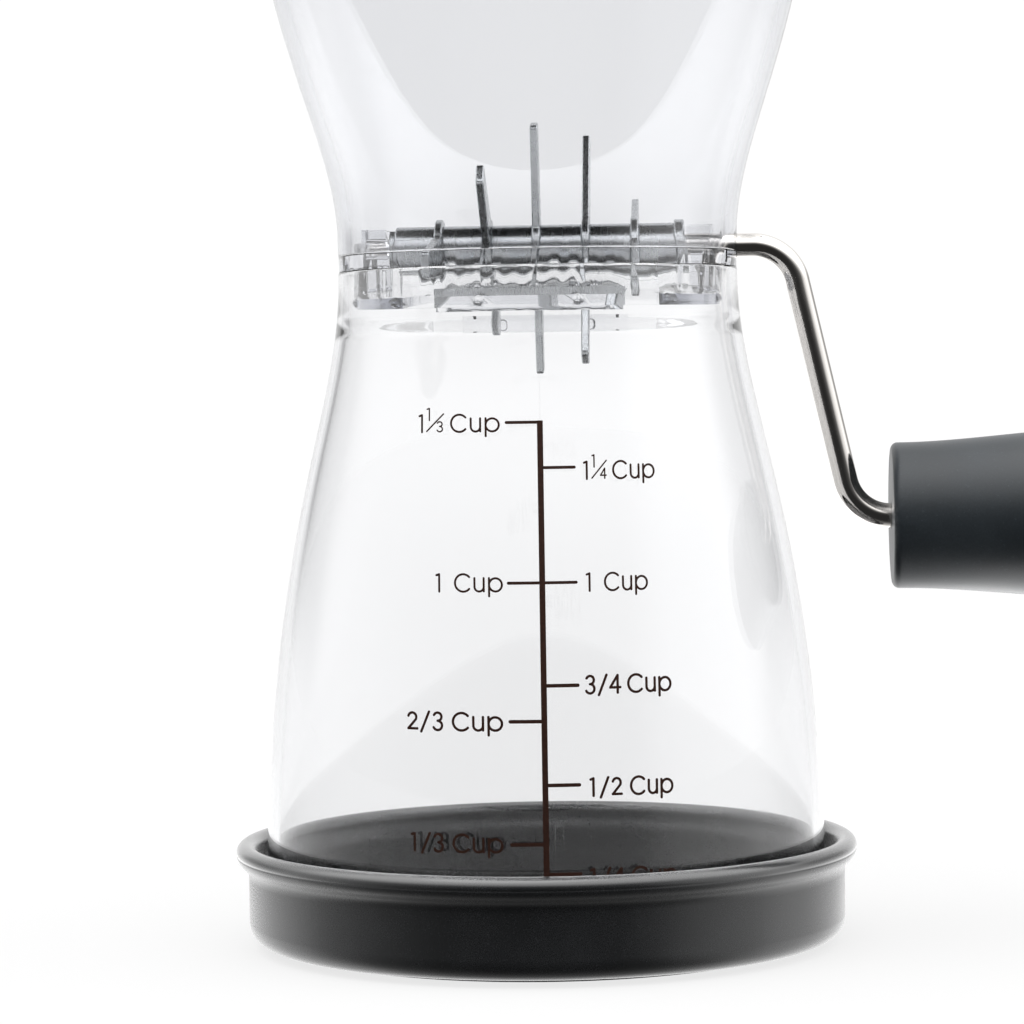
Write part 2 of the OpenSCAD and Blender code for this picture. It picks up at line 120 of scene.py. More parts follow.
def rounded(corners: Array, radii: Array, steps: int = 6, support: float = 0.25) -> Array:
    """A closed outline whose corners are arcs that touch both their sides.

    An arc starts on a side, at its radius over the tangent of half the corner's angle from the corner. Its
    points are the two radii to its ends, weighted by sines. A point just outside each arc keeps flats flat.

    Args:
        corners: Array of corners by two, in order round the outline.
        radii: Radius of each corner; zero leaves the corner as it is.
        steps: Spans of an arc.
        support: Largest distance from an arc to its outer point.

    Returns:
        Array of points by two, with no point twice in a row.
    """
    before = np.roll(corners, 1, 0) - corners
    after = np.roll(corners, -1, 0) - corners
    room = np.minimum(np.linalg.norm(before, axis=1), np.linalg.norm(after, axis=1))
    before /= np.linalg.norm(before, axis=1)[:, None]
    after /= np.linalg.norm(after, axis=1)[:, None]
    half = np.arccos(np.clip((before * after).sum(1), -1, 1)) / 2
    reach = radii / np.tan(half)
    middle = before + after
    length = np.maximum(np.linalg.norm(middle, axis=1), TINY)
    centre = corners + middle * (radii / np.sin(half) / length)[:, None]
    start = corners + before * reach[:, None]
    end = corners + after * reach[:, None]
    sweep = np.maximum(np.pi - 2 * half, TINY)[:, None, None]
    t = np.linspace(0, 1, steps + 1)[None, :, None]
    first = np.sin((1 - t) * sweep) / np.sin(sweep)
    last = np.sin(t * sweep) / np.sin(sweep)
    arc = centre[:, None] + first * (start - centre)[:, None] + last * (end - centre)[:, None]
    spare = np.minimum(support, SUPPORT_SHARE * np.maximum(room - reach, 0))
    spare = np.where(radii > 0, spare, 0)[:, None]
    runs = [(start + before * spare)[:, None], arc, (end + after * spare)[:, None]]
    chain = np.concatenate(runs, 1).reshape(-1, 2)
    moved = np.linalg.norm(chain - np.roll(chain, 1, 0), axis=1) > SAME_PLACE
    return chain[moved]


@dataclass
class Outline:
    """A closed outline that is drawn stretch by stretch, with corners rounded at the end."""

    points: list[Array] = field(default_factory=list)
    radii: list[Array] = field(default_factory=list)

    def to(self, *corners: Triple) -> "Outline":
        """Adds corners.

        Args:
            corners: Two places and a radius for each.

        Returns:
            This outline.
        """
        values = np.asarray(corners, float)
        self.points.append(values[:, :2])
        self.radii.append(values[:, 2])
        return self

    def along(self, run: Array) -> "Outline":
        """Adds the points of a curve as they are.

        Args:
            run: Array of points by two.

        Returns:
            This outline.
        """
        self.points.append(np.asarray(run, float))
        self.radii.append(np.zeros(len(run)))
        return self

    def drawn(self, steps: int = 6, support: float = 0.25) -> Array:
        """The finished outline.

        Args:
            steps: Spans of a corner's arc.
            support: Largest distance from an arc to the point outside it.

        Returns:
            Array of points by two.
        """
        corners = np.concatenate(self.points)
        radii = np.concatenate(self.radii)
        fresh = np.linalg.norm(corners - np.roll(corners, 1, 0), axis=1) > SAME_PLACE
        return rounded(corners[fresh], radii[fresh], steps, support)


@dataclass
class Grid:
    """A surface as a grid of points, in millimetres, whose last column joins the first.

    Attributes:
        points: Array of rows by columns by three.
        loop_rows: Whether the last row joins the first too.
    """

    points: Array
    loop_rows: bool = False

    def cells(self) -> tuple[Array, Array]:
        """Row and column number of each cell; a loop has one cell more than an open run.

        Returns:
            Two flat arrays.
        """
        rows, columns = self.points.shape[:2]
        row, column = np.meshgrid(np.arange(rows - 1 + self.loop_rows), np.arange(columns), indexing="ij")
        return row.ravel(), column.ravel()

    def faces(self) -> Array:
        """Vertex numbers of each cell's corners: its own place, then one column, one of each and one row on.

        Returns:
            Array of cells by four.
        """
        rows, columns = self.points.shape[:2]
        row, column = self.cells()
        next_row = (row + 1) % rows
        next_column = (column + 1) % columns
        return np.stack([row * columns + column, row * columns + next_column,
                         next_row * columns + next_column, next_row * columns + column], -1)

    def lengths(self) -> tuple[Array, Array]:
        """Distances across and up the grid: the mean step between neighbours, added up from zero.

        Returns:
            Distance of each column and of each row, with one more for a loop's end.
        """
        ring = np.concatenate([self.points, self.points[:, :1]], 1)
        pile = np.concatenate([self.points, self.points[:1]], 0)
        across = np.linalg.norm(np.diff(ring, axis=1), axis=2).mean(0)
        up = np.linalg.norm(np.diff(pile, axis=0), axis=2).mean(1)
        return np.concatenate([[0], np.cumsum(across)]), np.concatenate([[0], np.cumsum(up)])

    def corner_uv(self) -> Array:
        """Metres across and up at each corner of each cell, in the order of the faces.

        Returns:
            Array of corners by two.
        """
        across, up = self.lengths()
        row, column = self.cells()
        u = np.stack([across[column], across[column + 1], across[column + 1], across[column]], -1)
        v = np.stack([up[row], up[row], up[row + 1], up[row + 1]], -1)
        return np.stack([u, v], -1).reshape(-1, 2) * MM


class Axis(Enum):
    """The line that a piece is turned about; a level one's value is its height."""

    UPRIGHT = None
    SHAFT = 102.7
    JOURNAL = 62.6

    def place(self, radius: Array, along: Array, angle: Array) -> Array:
        """Points round the line.

        Args:
            radius: Distance of each point from the line.
            along: Distance along the line.
            angle: Angle round the line, in radians.

        Returns:
            Array of points by three, in the arguments' shape.
        """
        side = radius * np.cos(angle)
        other = radius * np.sin(angle)
        along = np.broadcast_to(along, side.shape)
        if self is Axis.UPRIGHT:
            return np.stack([side, other, along], -1)
        return np.stack([along, side, other + self.value], -1)


def turned(outline: Array, axis: Axis = Axis.UPRIGHT, columns: int = 160, hollow: bool = True) -> Grid:
    """A turned surface: each outline point, a radius and a distance along the axis, carried round the axis.

    Args:
        outline: Array of points by two.
        axis: Line that it is turned about.
        columns: Steps round the axis.
        hollow: Whether the outline closes on itself; otherwise its two ends lie on the axis.

    Returns:
        The surface.
    """
    angle = np.linspace(0, 2 * np.pi, columns, endpoint=False)[None, :]
    return Grid(axis.place(outline[:, :1], outline[:, 1:], angle), loop_rows=hollow)


class Value:
    """A shader socket that takes part in Python arithmetic; each operation adds a Math node."""

    def __init__(self, graph: "Graph", socket: bpy.types.NodeSocket) -> None:
        """Wraps an output socket of a graph."""
        self.graph = graph
        self.socket = socket

    def __add__(self, other: "Number") -> "Value":
        """This plus other."""
        return self.graph.math("ADD", self, other)

    def __sub__(self, other: "Number") -> "Value":
        """This minus other."""
        return self.graph.math("SUBTRACT", self, other)

    def __rsub__(self, other: "Number") -> "Value":
        """Other minus this."""
        return self.graph.math("SUBTRACT", other, self)

    def __mul__(self, other: "Number") -> "Value":
        """This times other."""
        return self.graph.math("MULTIPLY", self, other)

    __radd__ = __add__
    __rmul__ = __mul__


Number = Union[Value, float]


class Graph:
    """A node tree and the few ways that nodes are added to it."""

    def __init__(self, tree: bpy.types.NodeTree) -> None:
        """Takes over a tree and empties it."""
        self.tree = tree
        tree.nodes.clear()

    def node(self, kind: str, settings: dict, inputs: dict) -> bpy.types.Node:
        """Adds a node.

        Args:
            kind: Node type without its ShaderNode prefix.
            settings: Properties of the node, set first.
            inputs: Values or links of its sockets, by name or number.

        Returns:
            The node.
        """
        made = self.tree.nodes.new("ShaderNode" + kind)
        for name, setting in settings.items():
            setattr(made, name, setting)
        for key, value in inputs.items():
            if isinstance(value, Value):
                self.tree.links.new(value.socket, made.inputs[key])
            else:
                made.inputs[key].default_value = value
        return made

    def value(self, kind: str, settings: dict, inputs: dict, output: Union[str, int] = 0) -> Value:
        """Adds a node and wraps one of its outputs."""
        return Value(self, self.node(kind, settings, inputs).outputs[output])

    def math(self, operation: str, *terms: Number) -> Value:
        """Adds a Math node on one or two terms."""
        return self.value("Math", {"operation": operation}, dict(enumerate(terms)))

    def place(self, stretch: Triple = (1, 1, 1), uv: bool = False) -> Value:
        """The place on the piece, in metres or along its surface, times a stretch per axis."""
        spot = self.value("TexCoord", {}, {}, "UV" if uv else "Object")
        return self.value("Mapping", {}, {"Vector": spot, "Scale": stretch})

    def noise(self, place: Value, grain: float, detail: float = 2.0, roughness: float = 0.5) -> Value:
        """Smooth noise from 0 to 1 whose grains are about so many millimetres across."""
        inputs = {"Vector": place, "Scale": 1 / (grain * MM), "Detail": detail, "Roughness": roughness}
        return self.value("TexNoise", {}, inputs)

    def step(self, value: Value, low: float, high: float) -> Value:
        """A smooth step from 0 at low to 1 at high, and level beyond them."""
        inputs = {"Value": value, "From Min": low, "From Max": high}
        return self.value("MapRange", {"interpolation_type": "SMOOTHSTEP"}, inputs)

    def band(self, value: Value, low: float, rise: float, fall: float, high: float) -> Value:
        """A smooth band: 1 from rise to fall, 0 below low and above high."""
        return self.step(value, low, rise) * (1 - self.step(value, fall, high))

    def blend(self, share: Value, first: Colour, second: Colour) -> Value:
        """A colour between two, by a share from 0 to 1."""
        return self.value("Mix", {"data_type": "RGBA"}, {0: share, 6: (*first, 1), 7: (*second, 1)}, 2)

    def bump(self, height: Value, depth: float) -> Value:
        """A normal that follows a height from 0 to 1 and so many millimetres deep."""
        return self.value("Bump", {}, {"Strength": 1.0, "Distance": depth * MM, "Height": height})


def surfaced(name: str) -> tuple[bpy.types.Material, Graph]:
    """A new material with an empty graph.

    Args:
        name: Name of the material.

    Returns:
        The material and its graph.
    """
    material = bpy.data.materials.new(name)
    material.use_nodes = True
    return material, Graph(material.node_tree)


def closed(graph: Graph, inputs: dict) -> bpy.types.Node:
    """Ends a graph in one Principled shader with these inputs, and returns the output node."""
    shader = graph.value("BsdfPrincipled", {}, inputs, "BSDF")
    return graph.node("OutputMaterial", {}, {"Surface": shader})


class Finish(Protocol):
    """What a finish offers: the record's slot that it belongs to, and its material."""

    slot: str

    def material(self) -> bpy.types.Material:
        """Makes the finish's material."""


@dataclass(frozen=True)
class ClearPlastic:
    """Polished clear styrene with a faint lilac depth, a moulding wave and a few handling smears."""

    slot: str = "clear_plastic"
    depth_tint: Colour = (0.78, 0.79, 0.82)
    depth: float = 110.0
    index: float = 1.5
    gloss: float = 0.012
    smear: float = 0.05
    smear_grain: float = 9.0
    smear_band: Pair = (0.55, 0.8)
    wave_grain: float = 14.0
    wave_depth: float = 0.012

    def material(self) -> bpy.types.Material:
        """Clear transmission that darkens with depth; broad noise bends the surface, finer noise dulls it.

        Returns:
            The material.
        """
        made, graph = surfaced("clear_plastic")
        spot = graph.place()
        smear = graph.step(graph.noise(spot, self.smear_grain, detail=4.0), *self.smear_band)
        wave = graph.noise(spot, self.wave_grain, detail=1.0)
        end = closed(graph, {
            "Base Color": (1, 1, 1, 1),
            "Roughness": smear * self.smear + self.gloss,
            "IOR": self.index,
            "Transmission Weight": 1.0,
            "Normal": graph.bump(wave, self.wave_depth),
        })
        tint = {"Color": (*self.depth_tint, 1), "Density": self.depth}
        body = graph.value("VolumeAbsorption", {}, tint)
        graph.tree.links.new(body.socket, end.inputs["Volume"])
        return made


@dataclass(frozen=True)
class MouldedPlastic:
    """Dark satin plastic with the fine grain of an eroded mould and faint wear of its gloss.

    A name ending in _grain is the size of a noise, in _share its part in the tone, in _dull what it adds to
    the roughness, and in _band where a step on it begins and ends.

    Attributes:
        slot: The record's slot.
        dark: Darker tone.
        pale: Paler tone.
        gloss: Mean roughness.
        grain: Size of the mould's grain.
        grain_depth: Depth of the grain.
        level: Strength of the mirror reflection.
        bloom: Strength of the dusty sheen.
        rubbed: Heights where a second gloss, rubbed on by hands, begins and is full; it stays beyond.
        polish: Strength of that second gloss.
    """

    slot: str
    dark: str
    pale: str
    gloss: float
    grain: float
    grain_depth: float
    level: float
    bloom: float
    rubbed: Pair = (0.0, 1.0)
    polish: float = 0.0
    polish_gloss: float = 0.22
    bloom_gloss: float = 0.3
    cloud_grain: float = 11.0
    cloud_share: float = 0.5
    cloud_dull: float = 0.1
    grain_share: float = 0.4
    grain_dull: float = 0.12
    speck_grain: float = 0.5
    speck_share: float = 0.25
    speck_band: Pair = (0.68, 0.76)
    shade_band: Pair = (0.3, 0.85)

    def material(self) -> bpy.types.Material:
        """A cloudy mix of two tones; a fine noise is the grain, in its bump and in a slight change of gloss.

        The noises' mean of one half is taken off the roughness, so that its mean is the gloss.

        Returns:
            The material.
        """
        made, graph = surfaced(self.slot)
        spot = graph.place()
        cloud = graph.noise(spot, self.cloud_grain, detail=3.0)
        grain = graph.noise(spot, self.grain, detail=2.0, roughness=0.6)
        speck = graph.step(graph.noise(spot, self.speck_grain, detail=1.0), *self.speck_band)
        mixed = cloud * self.cloud_share + grain * self.grain_share + speck * self.speck_share
        shade = graph.step(mixed, *self.shade_band)
        sharpest = self.gloss - (self.cloud_dull + self.grain_dull) / 2
        height = graph.value("SeparateXYZ", {}, {0: spot}, 2)
        handled = graph.step(height, *(z * MM for z in self.rubbed))
        closed(graph, {
            "Base Color": graph.blend(shade, linear(self.dark), linear(self.pale)),
            "Roughness": cloud * self.cloud_dull + grain * self.grain_dull + sharpest,
            "Specular IOR Level": self.level,
            "Coat Weight": handled * self.polish,
            "Coat Roughness": self.polish_gloss,
            "Sheen Weight": self.bloom,
            "Sheen Roughness": self.bloom_gloss,
            "Normal": graph.bump(grain, self.grain_depth),
        })
        return made


@dataclass(frozen=True)
class DrawnSteel:
    """Polished rod and turned tube: bright steel with fine lines along the way it was drawn."""

    slot: str = "polished_steel"
    tone: str = "e6e3e0"
    shade: str = "c2beb9"
    gloss: float = 0.045
    drawn: Triple = (1.0, 0.02, 1.0)
    line_grain: float = 0.12
    line_dull: float = 0.08
    line_depth: float = 0.002
    mark_grain: float = 2.5
    mark_dull: float = 0.06
    mark_band: Pair = (0.5, 0.8)

    def material(self) -> bpy.types.Material:
        """Noise stretched along one direction of the surface gives the lines, in tone, gloss and bump.

        Returns:
            The material.
        """
        made, graph = surfaced("drawn_steel")
        line = graph.noise(graph.place(self.drawn, uv=True), self.line_grain, detail=3.0, roughness=0.6)
        mark = graph.step(graph.noise(graph.place(), self.mark_grain, detail=3.0), *self.mark_band)
        closed(graph, {
            "Base Color": graph.blend(line, linear(self.shade), linear(self.tone)),
            "Metallic": 1.0,
            "Roughness": line * self.line_dull + mark * self.mark_dull + self.gloss,
            "Normal": graph.bump(line, self.line_depth),
        })
        return made


@dataclass(frozen=True)
class StampedSteel:
    """Stamped sheet: satin steel with straight brush lines and a few darker scuffs."""

    slot: str = "steel"
    tone: str = "d2d4d6"
    shade: str = "a4a7aa"
    gloss: float = 0.2
    brushed: Triple = (1.0, 0.06, 0.06)
    brush_grain: float = 0.1
    brush_share: float = 0.8
    brush_dull: float = 0.14
    brush_depth: float = 0.006
    scuff_grain: float = 3.0
    scuff_share: float = 0.2
    scuff_dull: float = 0.1
    scuff_band: Pair = (0.5, 0.75)

    def material(self) -> bpy.types.Material:
        """Noise stretched along the sheet gives the brush lines; a broad noise gives the scuffs.

        Returns:
            The material.
        """
        made, graph = surfaced("stamped_steel")
        brush = graph.noise(graph.place(self.brushed), self.brush_grain, detail=3.0, roughness=0.65)
        scuff = graph.step(graph.noise(graph.place(), self.scuff_grain, detail=4.0), *self.scuff_band)
        bright = brush * self.brush_share + scuff * self.scuff_share
        closed(graph, {
            "Base Color": graph.blend(bright, linear(self.shade), linear(self.tone)),
            "Metallic": 1.0,
            "Roughness": brush * self.brush_dull + scuff * self.scuff_dull + self.gloss,
            "Normal": graph.bump(brush, self.brush_depth),
        })
        return made


@dataclass(frozen=True)
class SoftRubber:
    """Matt black rubber with a fine dusty bloom."""

    slot: str = "rubber"
    dark: str = "161617"
    dusty: str = "2b2b2c"
    gloss: float = 0.72
    level: float = 0.3
    grain: float = 0.35
    grain_depth: float = 0.03
    bloom_grain: float = 6.0
    bloom_dull: float = 0.15

    def material(self) -> bpy.types.Material:
        """Two blacks mixed by a cloudy noise, with a fine grain in the bump.

        Returns:
            The material.
        """
        made, graph = surfaced("soft_rubber")
        spot = graph.place()
        grain = graph.noise(spot, self.grain, detail=3.0)
        bloom = graph.noise(spot, self.bloom_grain, detail=4.0)
        closed(graph, {
            "Base Color": graph.blend(bloom, linear(self.dark), linear(self.dusty)),
            "Roughness": bloom * self.bloom_dull + self.gloss,
            "Specular IOR Level": self.level,
            "Normal": graph.bump(grain, self.grain_depth),
        })
        return made


@dataclass(frozen=True)
class ScaleInk:
    """Screen-printed ink, brown black and slightly uneven."""

    slot: str = "charcoal_plastic"
    dark: str = "170e0c"
    thin: str = "38221a"
    gloss: float = 0.4
    level: float = 0.08
    grain: float = 0.4
    grain_dull: float = 0.2
    grain_depth: float = 0.004

    def material(self) -> bpy.types.Material:
        """Two browns mixed by a fine noise, as where the ink lies thin.

        Returns:
            The material.
        """
        made, graph = surfaced("scale_ink")
        thin = graph.noise(graph.place(), self.grain, detail=3.0)
        closed(graph, {
            "Base Color": graph.blend(thin, linear(self.dark), linear(self.thin)),
            "Roughness": thin * self.grain_dull + self.gloss,
            "Specular IOR Level": self.level,
            "Normal": graph.bump(thin, self.grain_depth),
        })
        return made


@dataclass
class Bench:
    """Makes pieces, gives each its finish and sets it on its CAD body."""

    nodes: dict
    shelf: dict = field(default_factory=dict)

    def material(self, finish: Finish) -> bpy.types.Material:
        """The finish's material, made once.

        Args:
            finish: The finish.

        Returns:
            Its material.
        """
        if finish not in self.shelf:
            self.shelf[finish] = finish.material()
        return self.shelf[finish]

    def put(self, mesh: bpy.types.Mesh, body: str, finish: Finish, nodes: Sequence[str]) -> bpy.types.Object:
        """Makes a mesh a piece of the object.

        Args:
            mesh: Finished mesh, whose name the piece takes.
            body: CAD body that it rides on.
            finish: Its finish.
            nodes: CAD nodes that it stands for.

        Returns:
            The piece.
        """
        mesh.materials.clear()
        mesh.materials.append(self.material(finish))
        mesh.shade_smooth()
        mesh.set_sharp_from_angle(angle=SHARP_ANGLE)
        piece = bpy.data.objects.new(mesh.name, mesh)
        bpy.context.scene.collection.objects.link(piece)
        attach(piece, body)
        if nodes:
            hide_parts(*nodes)
        LOG.info("%s: %d faces on %s", piece.name, len(mesh.polygons), body)
        return piece

    def shaped(self, name: str, grids: Sequence[Grid], body: str, finish: Finish,
               nodes: Sequence[str] = ()) -> bpy.types.Object:
        """Makes a piece of one or more grids, with its seams and poles merged and its faces outwards.

        Args:
            name: Name of the piece.
            grids: Closed surfaces.
            body: CAD body that it rides on.
            finish: Its finish.
            nodes: CAD nodes that it stands for.

        Returns:
            The piece.
        """
        counts = np.cumsum([0] + [g.points.shape[0] * g.points.shape[1] for g in grids])
        places = np.concatenate([g.points.reshape(-1, 3) for g in grids]) * MM
        faces = np.concatenate([g.faces() + start for g, start in zip(grids, counts)])
        mesh = bpy.data.meshes.new(name)
        mesh.from_pydata(places.tolist(), [], faces.tolist())
        layer = mesh.uv_layers.new(name="surface")
        layer.data.foreach_set("uv", np.concatenate([g.corner_uv() for g in grids]).ravel())
        self.merged(mesh)
        return self.put(mesh, body, finish, nodes)

    def copied(self, node: str, body: str, finish: Finish, edge: float) -> bpy.types.Object:
        """Makes a piece of a CAD node's own shape, with its flats made whole and its sharp edges rounded.

        Args:
            node: CAD node.
            body: CAD body that it rides on.
            finish: Its finish.
            edge: Width of the rounding.

        Returns:
            The piece.
        """
        mesh = self.nodes[node].data.copy()
        mesh.name = node + "_piece"
        self.merged(mesh, flat=True)
        piece = self.put(mesh, body, finish, [node])
        bevel = piece.modifiers.new("edges", "BEVEL")
        bevel.width = edge * MM
        bevel.segments = 2
        bevel.limit_method = "ANGLE"
        bevel.angle_limit = SHARP_ANGLE
        bevel.harden_normals = True
        return piece

    def merged(self, mesh: bpy.types.Mesh, flat: bool = False) -> None:
        """Merges a mesh's doubles and turns its faces outwards.

        Args:
            mesh: Mesh that is changed.
            flat: Whether the triangles of each flat are joined.
        """
        shape = bmesh.new()
        shape.from_mesh(mesh)
        bmesh.ops.remove_doubles(shape, verts=shape.verts, dist=MERGE_DISTANCE)
        bmesh.ops.dissolve_degenerate(shape, edges=shape.edges, dist=MERGE_DISTANCE)
        if flat:
            bmesh.ops.dissolve_limit(shape, angle_limit=FLAT_ANGLE, verts=shape.verts, edges=shape.edges)
        bmesh.ops.recalc_face_normals(shape, faces=shape.faces)
        shape.to_mesh(mesh)
        shape.free()


CLEAR = ClearPlastic()
HOPPER_CLEAR = replace(CLEAR, depth=220.0)
CHARCOAL = MouldedPlastic(
    slot="charcoal_plastic",
    dark="191a1b",
    pale="27282a",
    gloss=0.26,
    grain=0.22,
    grain_depth=0.006,
    level=0.5,
    bloom=0.32,
    rubbed=(13.5, 14.0),
    polish=0.8,
)
LID_CHARCOAL = replace(CHARCOAL, rubbed=(167.4, 166.7))
SLATE = MouldedPlastic(
    slot="slate_plastic",
    dark="21262a",
    pale="2f353a",
    gloss=0.42,
    grain=0.3,
    grain_depth=0.006,
    level=0.36,
    bloom=0.12,
)
ROD_STEEL = DrawnSteel()
TUBE_STEEL = DrawnSteel(slot="steel", tone="cfd1d3", shade="a9acaf", gloss=0.22, drawn=(0.02, 1.0, 1.0))
SHEET_STEEL = StampedSteel()
RUBBER = SoftRubber()
INK = ScaleInk()


@dataclass
class RimmedDish:
    """The outline that the base and the lid share: a dish with a rounded corner and a flared, rolled rim."""

    inner: float = 42.4
    outer: float = 44.2
    corner: float = 3.0
    rim_outer: float = 46.0
    rim_round: float = 1.5
    flare: float = 3.6
    height: float = 14.8
    floor: float = 2.4
    fillet: float = 0.5
    crease: float = 0.07
    crease_under: float = 0.3
    crease_half: float = 0.14

    def outside(self) -> Array:
        """The wall from its corner up the outside, over the rim and down the inside to the fillet.

        Just under the rolled rim the outside is drawn in by c exp(-(d / w)^2), where d is the height from the
        crease, c its depth and w its half width.

        Returns:
            Array of points by two.
        """
        rim_z = self.height - self.rim_round
        flare_z = rim_z - self.flare
        middle = (rim_z + flare_z) / 2
        rim_inner = self.rim_outer - 2 * self.rim_round
        up = bezier((self.outer, flare_z), (self.outer, middle), (self.rim_outer, middle),
                    (self.rim_outer, rim_z), steps=64)
        away = (up[:, 1] - rim_z + self.crease_under) / self.crease_half
        up[:, 0] -= self.crease * np.exp(-away ** 2)
        over = bow((self.rim_outer - self.rim_round, rim_z), self.rim_round, 0, 180, steps=18)
        down = bezier((rim_inner, rim_z), (rim_inner, middle), (self.inner, middle),
                      (self.inner, flare_z), steps=20)
        return np.concatenate([up, over[1:], down[1:]])

    def outline(self, under: Sequence[Triple], inside: Sequence[Triple]) -> Array:
        """The whole outline from the axis below to the axis above.

        Args:
            under: Corners of the underside, from the axis outwards.
            inside: Corners of the inside, from the wall inwards to the axis.

        Returns:
            Array of points by two, with the foot at zero.
        """
        path = Outline().to(*under, (self.outer, 0, self.corner))
        path.along(self.outside())
        path.to((self.inner, self.floor, self.fillet), *inside)
        return path.drawn()


@dataclass
class BaseUnit:
    """The dark base with its centring ribs, and the pad under it."""

    dish: RimmedDish = field(default_factory=RimmedDish)
    base_z: float = 0.8
    around: int = 240
    recess: float = 0.8
    recess_r: float = 38.05
    recess_fillet: float = 0.1
    foot_edge: float = 0.2
    rib_count: int = 8
    rib_half: float = 0.7
    rib_r: float = 41.9
    rib_top: float = 11.2
    rib_edge: float = 0.06
    rib_run_out: float = 0.3
    pad_r: float = 38.0
    pad_t: float = 1.6
    pad_edge: float = 0.35
    pad_fillet: float = 0.1
    groove_r: tuple[float, ...] = (21.0, 28.0, 35.0)
    groove_half: float = 1.0
    groove_bed: float = 0.6
    groove_depth: float = 0.5
    groove_edge: float = 0.2

    def columns(self) -> Array:
        """Angles round the base: even steps, and extra ones at each rib's two edges.

        Returns:
            Angles in radians, in order.
        """
        even = np.arange(self.around) * 2 * np.pi / self.around
        centres = np.arange(self.rib_count) * 2 * np.pi / self.rib_count
        edges = np.array([-1, 1])[:, None] * self.rib_half + np.array([-1, 1])[None] * self.rib_edge
        near = (centres[:, None] + edges.ravel()[None] / self.rib_r).ravel() % (2 * np.pi)
        return np.unique(np.concatenate([even, near]))

    def shell(self) -> Grid:
        """The base: a turned dish with ribs inside its wall.

        Where a rib stands, the inside radius is drawn in to the rib's, by a share that goes from 0 to 1
        across the rib's edge and from 1 to 0 over its top.

        Returns:
            The surface.
        """
        under = [(0, self.recess, 0), (self.recess_r, self.recess, self.recess_fillet),
                 (self.recess_r, 0, self.foot_edge)]
        line = self.dish.outline(under, [(0, self.dish.floor, 0)])
        inside = np.arange(len(line)) > np.argmax(line[:, 1])
        angle = self.columns()
        spacing = 2 * np.pi / self.rib_count
        offset = np.abs((angle + spacing / 2) % spacing - spacing / 2) * self.rib_r
        across = np.clip((self.rib_half + self.rib_edge - offset) / (2 * self.rib_edge), 0, 1)
        up = np.clip((self.rib_top - line[:, 1]) / self.rib_run_out, 0, 1) * inside
        pull = up[:, None] * across[None] * np.maximum(line[:, :1] - self.rib_r, 0)
        return Grid(Axis.UPRIGHT.place(line[:, :1] - pull, line[:, 1:] + self.base_z, angle[None]))

    def pad(self) -> Grid:
        """The pad: a turned disc with round grooves underneath.

        Returns:
            The surface.
        """
        path = Outline().to((0, 0, 0))
        for middle in self.groove_r:
            for away, depth in ((-self.groove_half, 0), (-self.groove_bed, self.groove_depth),
                                (self.groove_bed, self.groove_depth), (self.groove_half, 0)):
                path.to((middle + away, depth, self.groove_edge))
        path.to((self.pad_r, 0, self.pad_edge), (self.pad_r, self.pad_t, self.pad_fillet), (0, self.pad_t, 0))
        return turned(path.drawn(4), hollow=False)

    def build(self, bench: Bench) -> None:
        """Builds the base and its pad."""
        bench.shaped("base_shell", [self.shell()], "base", CHARCOAL, ["base_cap"])
        bench.shaped("base_pad", [self.pad()], "base", RUBBER, ["foot_pad"])


@dataclass
class Lid:
    """The dark lid: the base's dish upside down, with a dished top and a plug inside the hopper's rim."""

    dish: RimmedDish = field(default_factory=lambda: RimmedDish(height=13.0))
    top_z: float = 178.4
    around: int = 240
    border_r: float = 38.8
    border_run: float = 0.4
    border_edge: float = 0.35
    dished: float = 0.6
    dished_fillet: float = 0.8
    plug_r: float = 39.6
    plug_wall: float = 1.6
    plug_h: float = 3.5
    plug_edge: float = 0.5
    plug_fillet: float = 0.3

    def build(self, bench: Bench) -> None:
        """Builds the lid: the dish's outline, with the plug in it, turned and set upside down.

        Args:
            bench: Where pieces are made.
        """
        floor = self.dish.floor
        low = floor + self.plug_h
        inner = self.plug_r - self.plug_wall
        top = [(0, self.dished, 0), (self.border_r - self.border_run, self.dished, self.dished_fillet),
               (self.border_r, 0, self.border_edge)]
        plug = [(self.plug_r, floor, self.plug_fillet), (self.plug_r, low, self.plug_edge),
                (inner, low, self.plug_edge), (inner, floor, self.plug_fillet), (0, floor, 0)]
        line = self.dish.outline(top, plug)
        line = np.stack([line[:, 0], self.top_z - line[:, 1]], -1)
        surface = turned(line, columns=self.around, hollow=False)
        bench.shaped("lid_shell", [surface], "lid", LID_CHARCOAL, ["lid"])


class Side(Enum):
    """Which side of the scale's line a mark is on; the value is its sign."""

    LEFT = -1
    RIGHT = 1


@dataclass(frozen=True)
class Mark:
    """A mark of the scale.

    Attributes:
        height: Height of the tick.
        side: Side of the scale's line.
        label: Text of the label.
        gap: Distance from the scale's line to the label.
        wide: Stretch of the label's letters across.
        drop: How far the label's middle is below the tick.
        weight: Stretch of the strokes' width.
    """

    height: float
    side: Side
    label: str
    gap: float
    wide: float
    drop: float
    weight: float


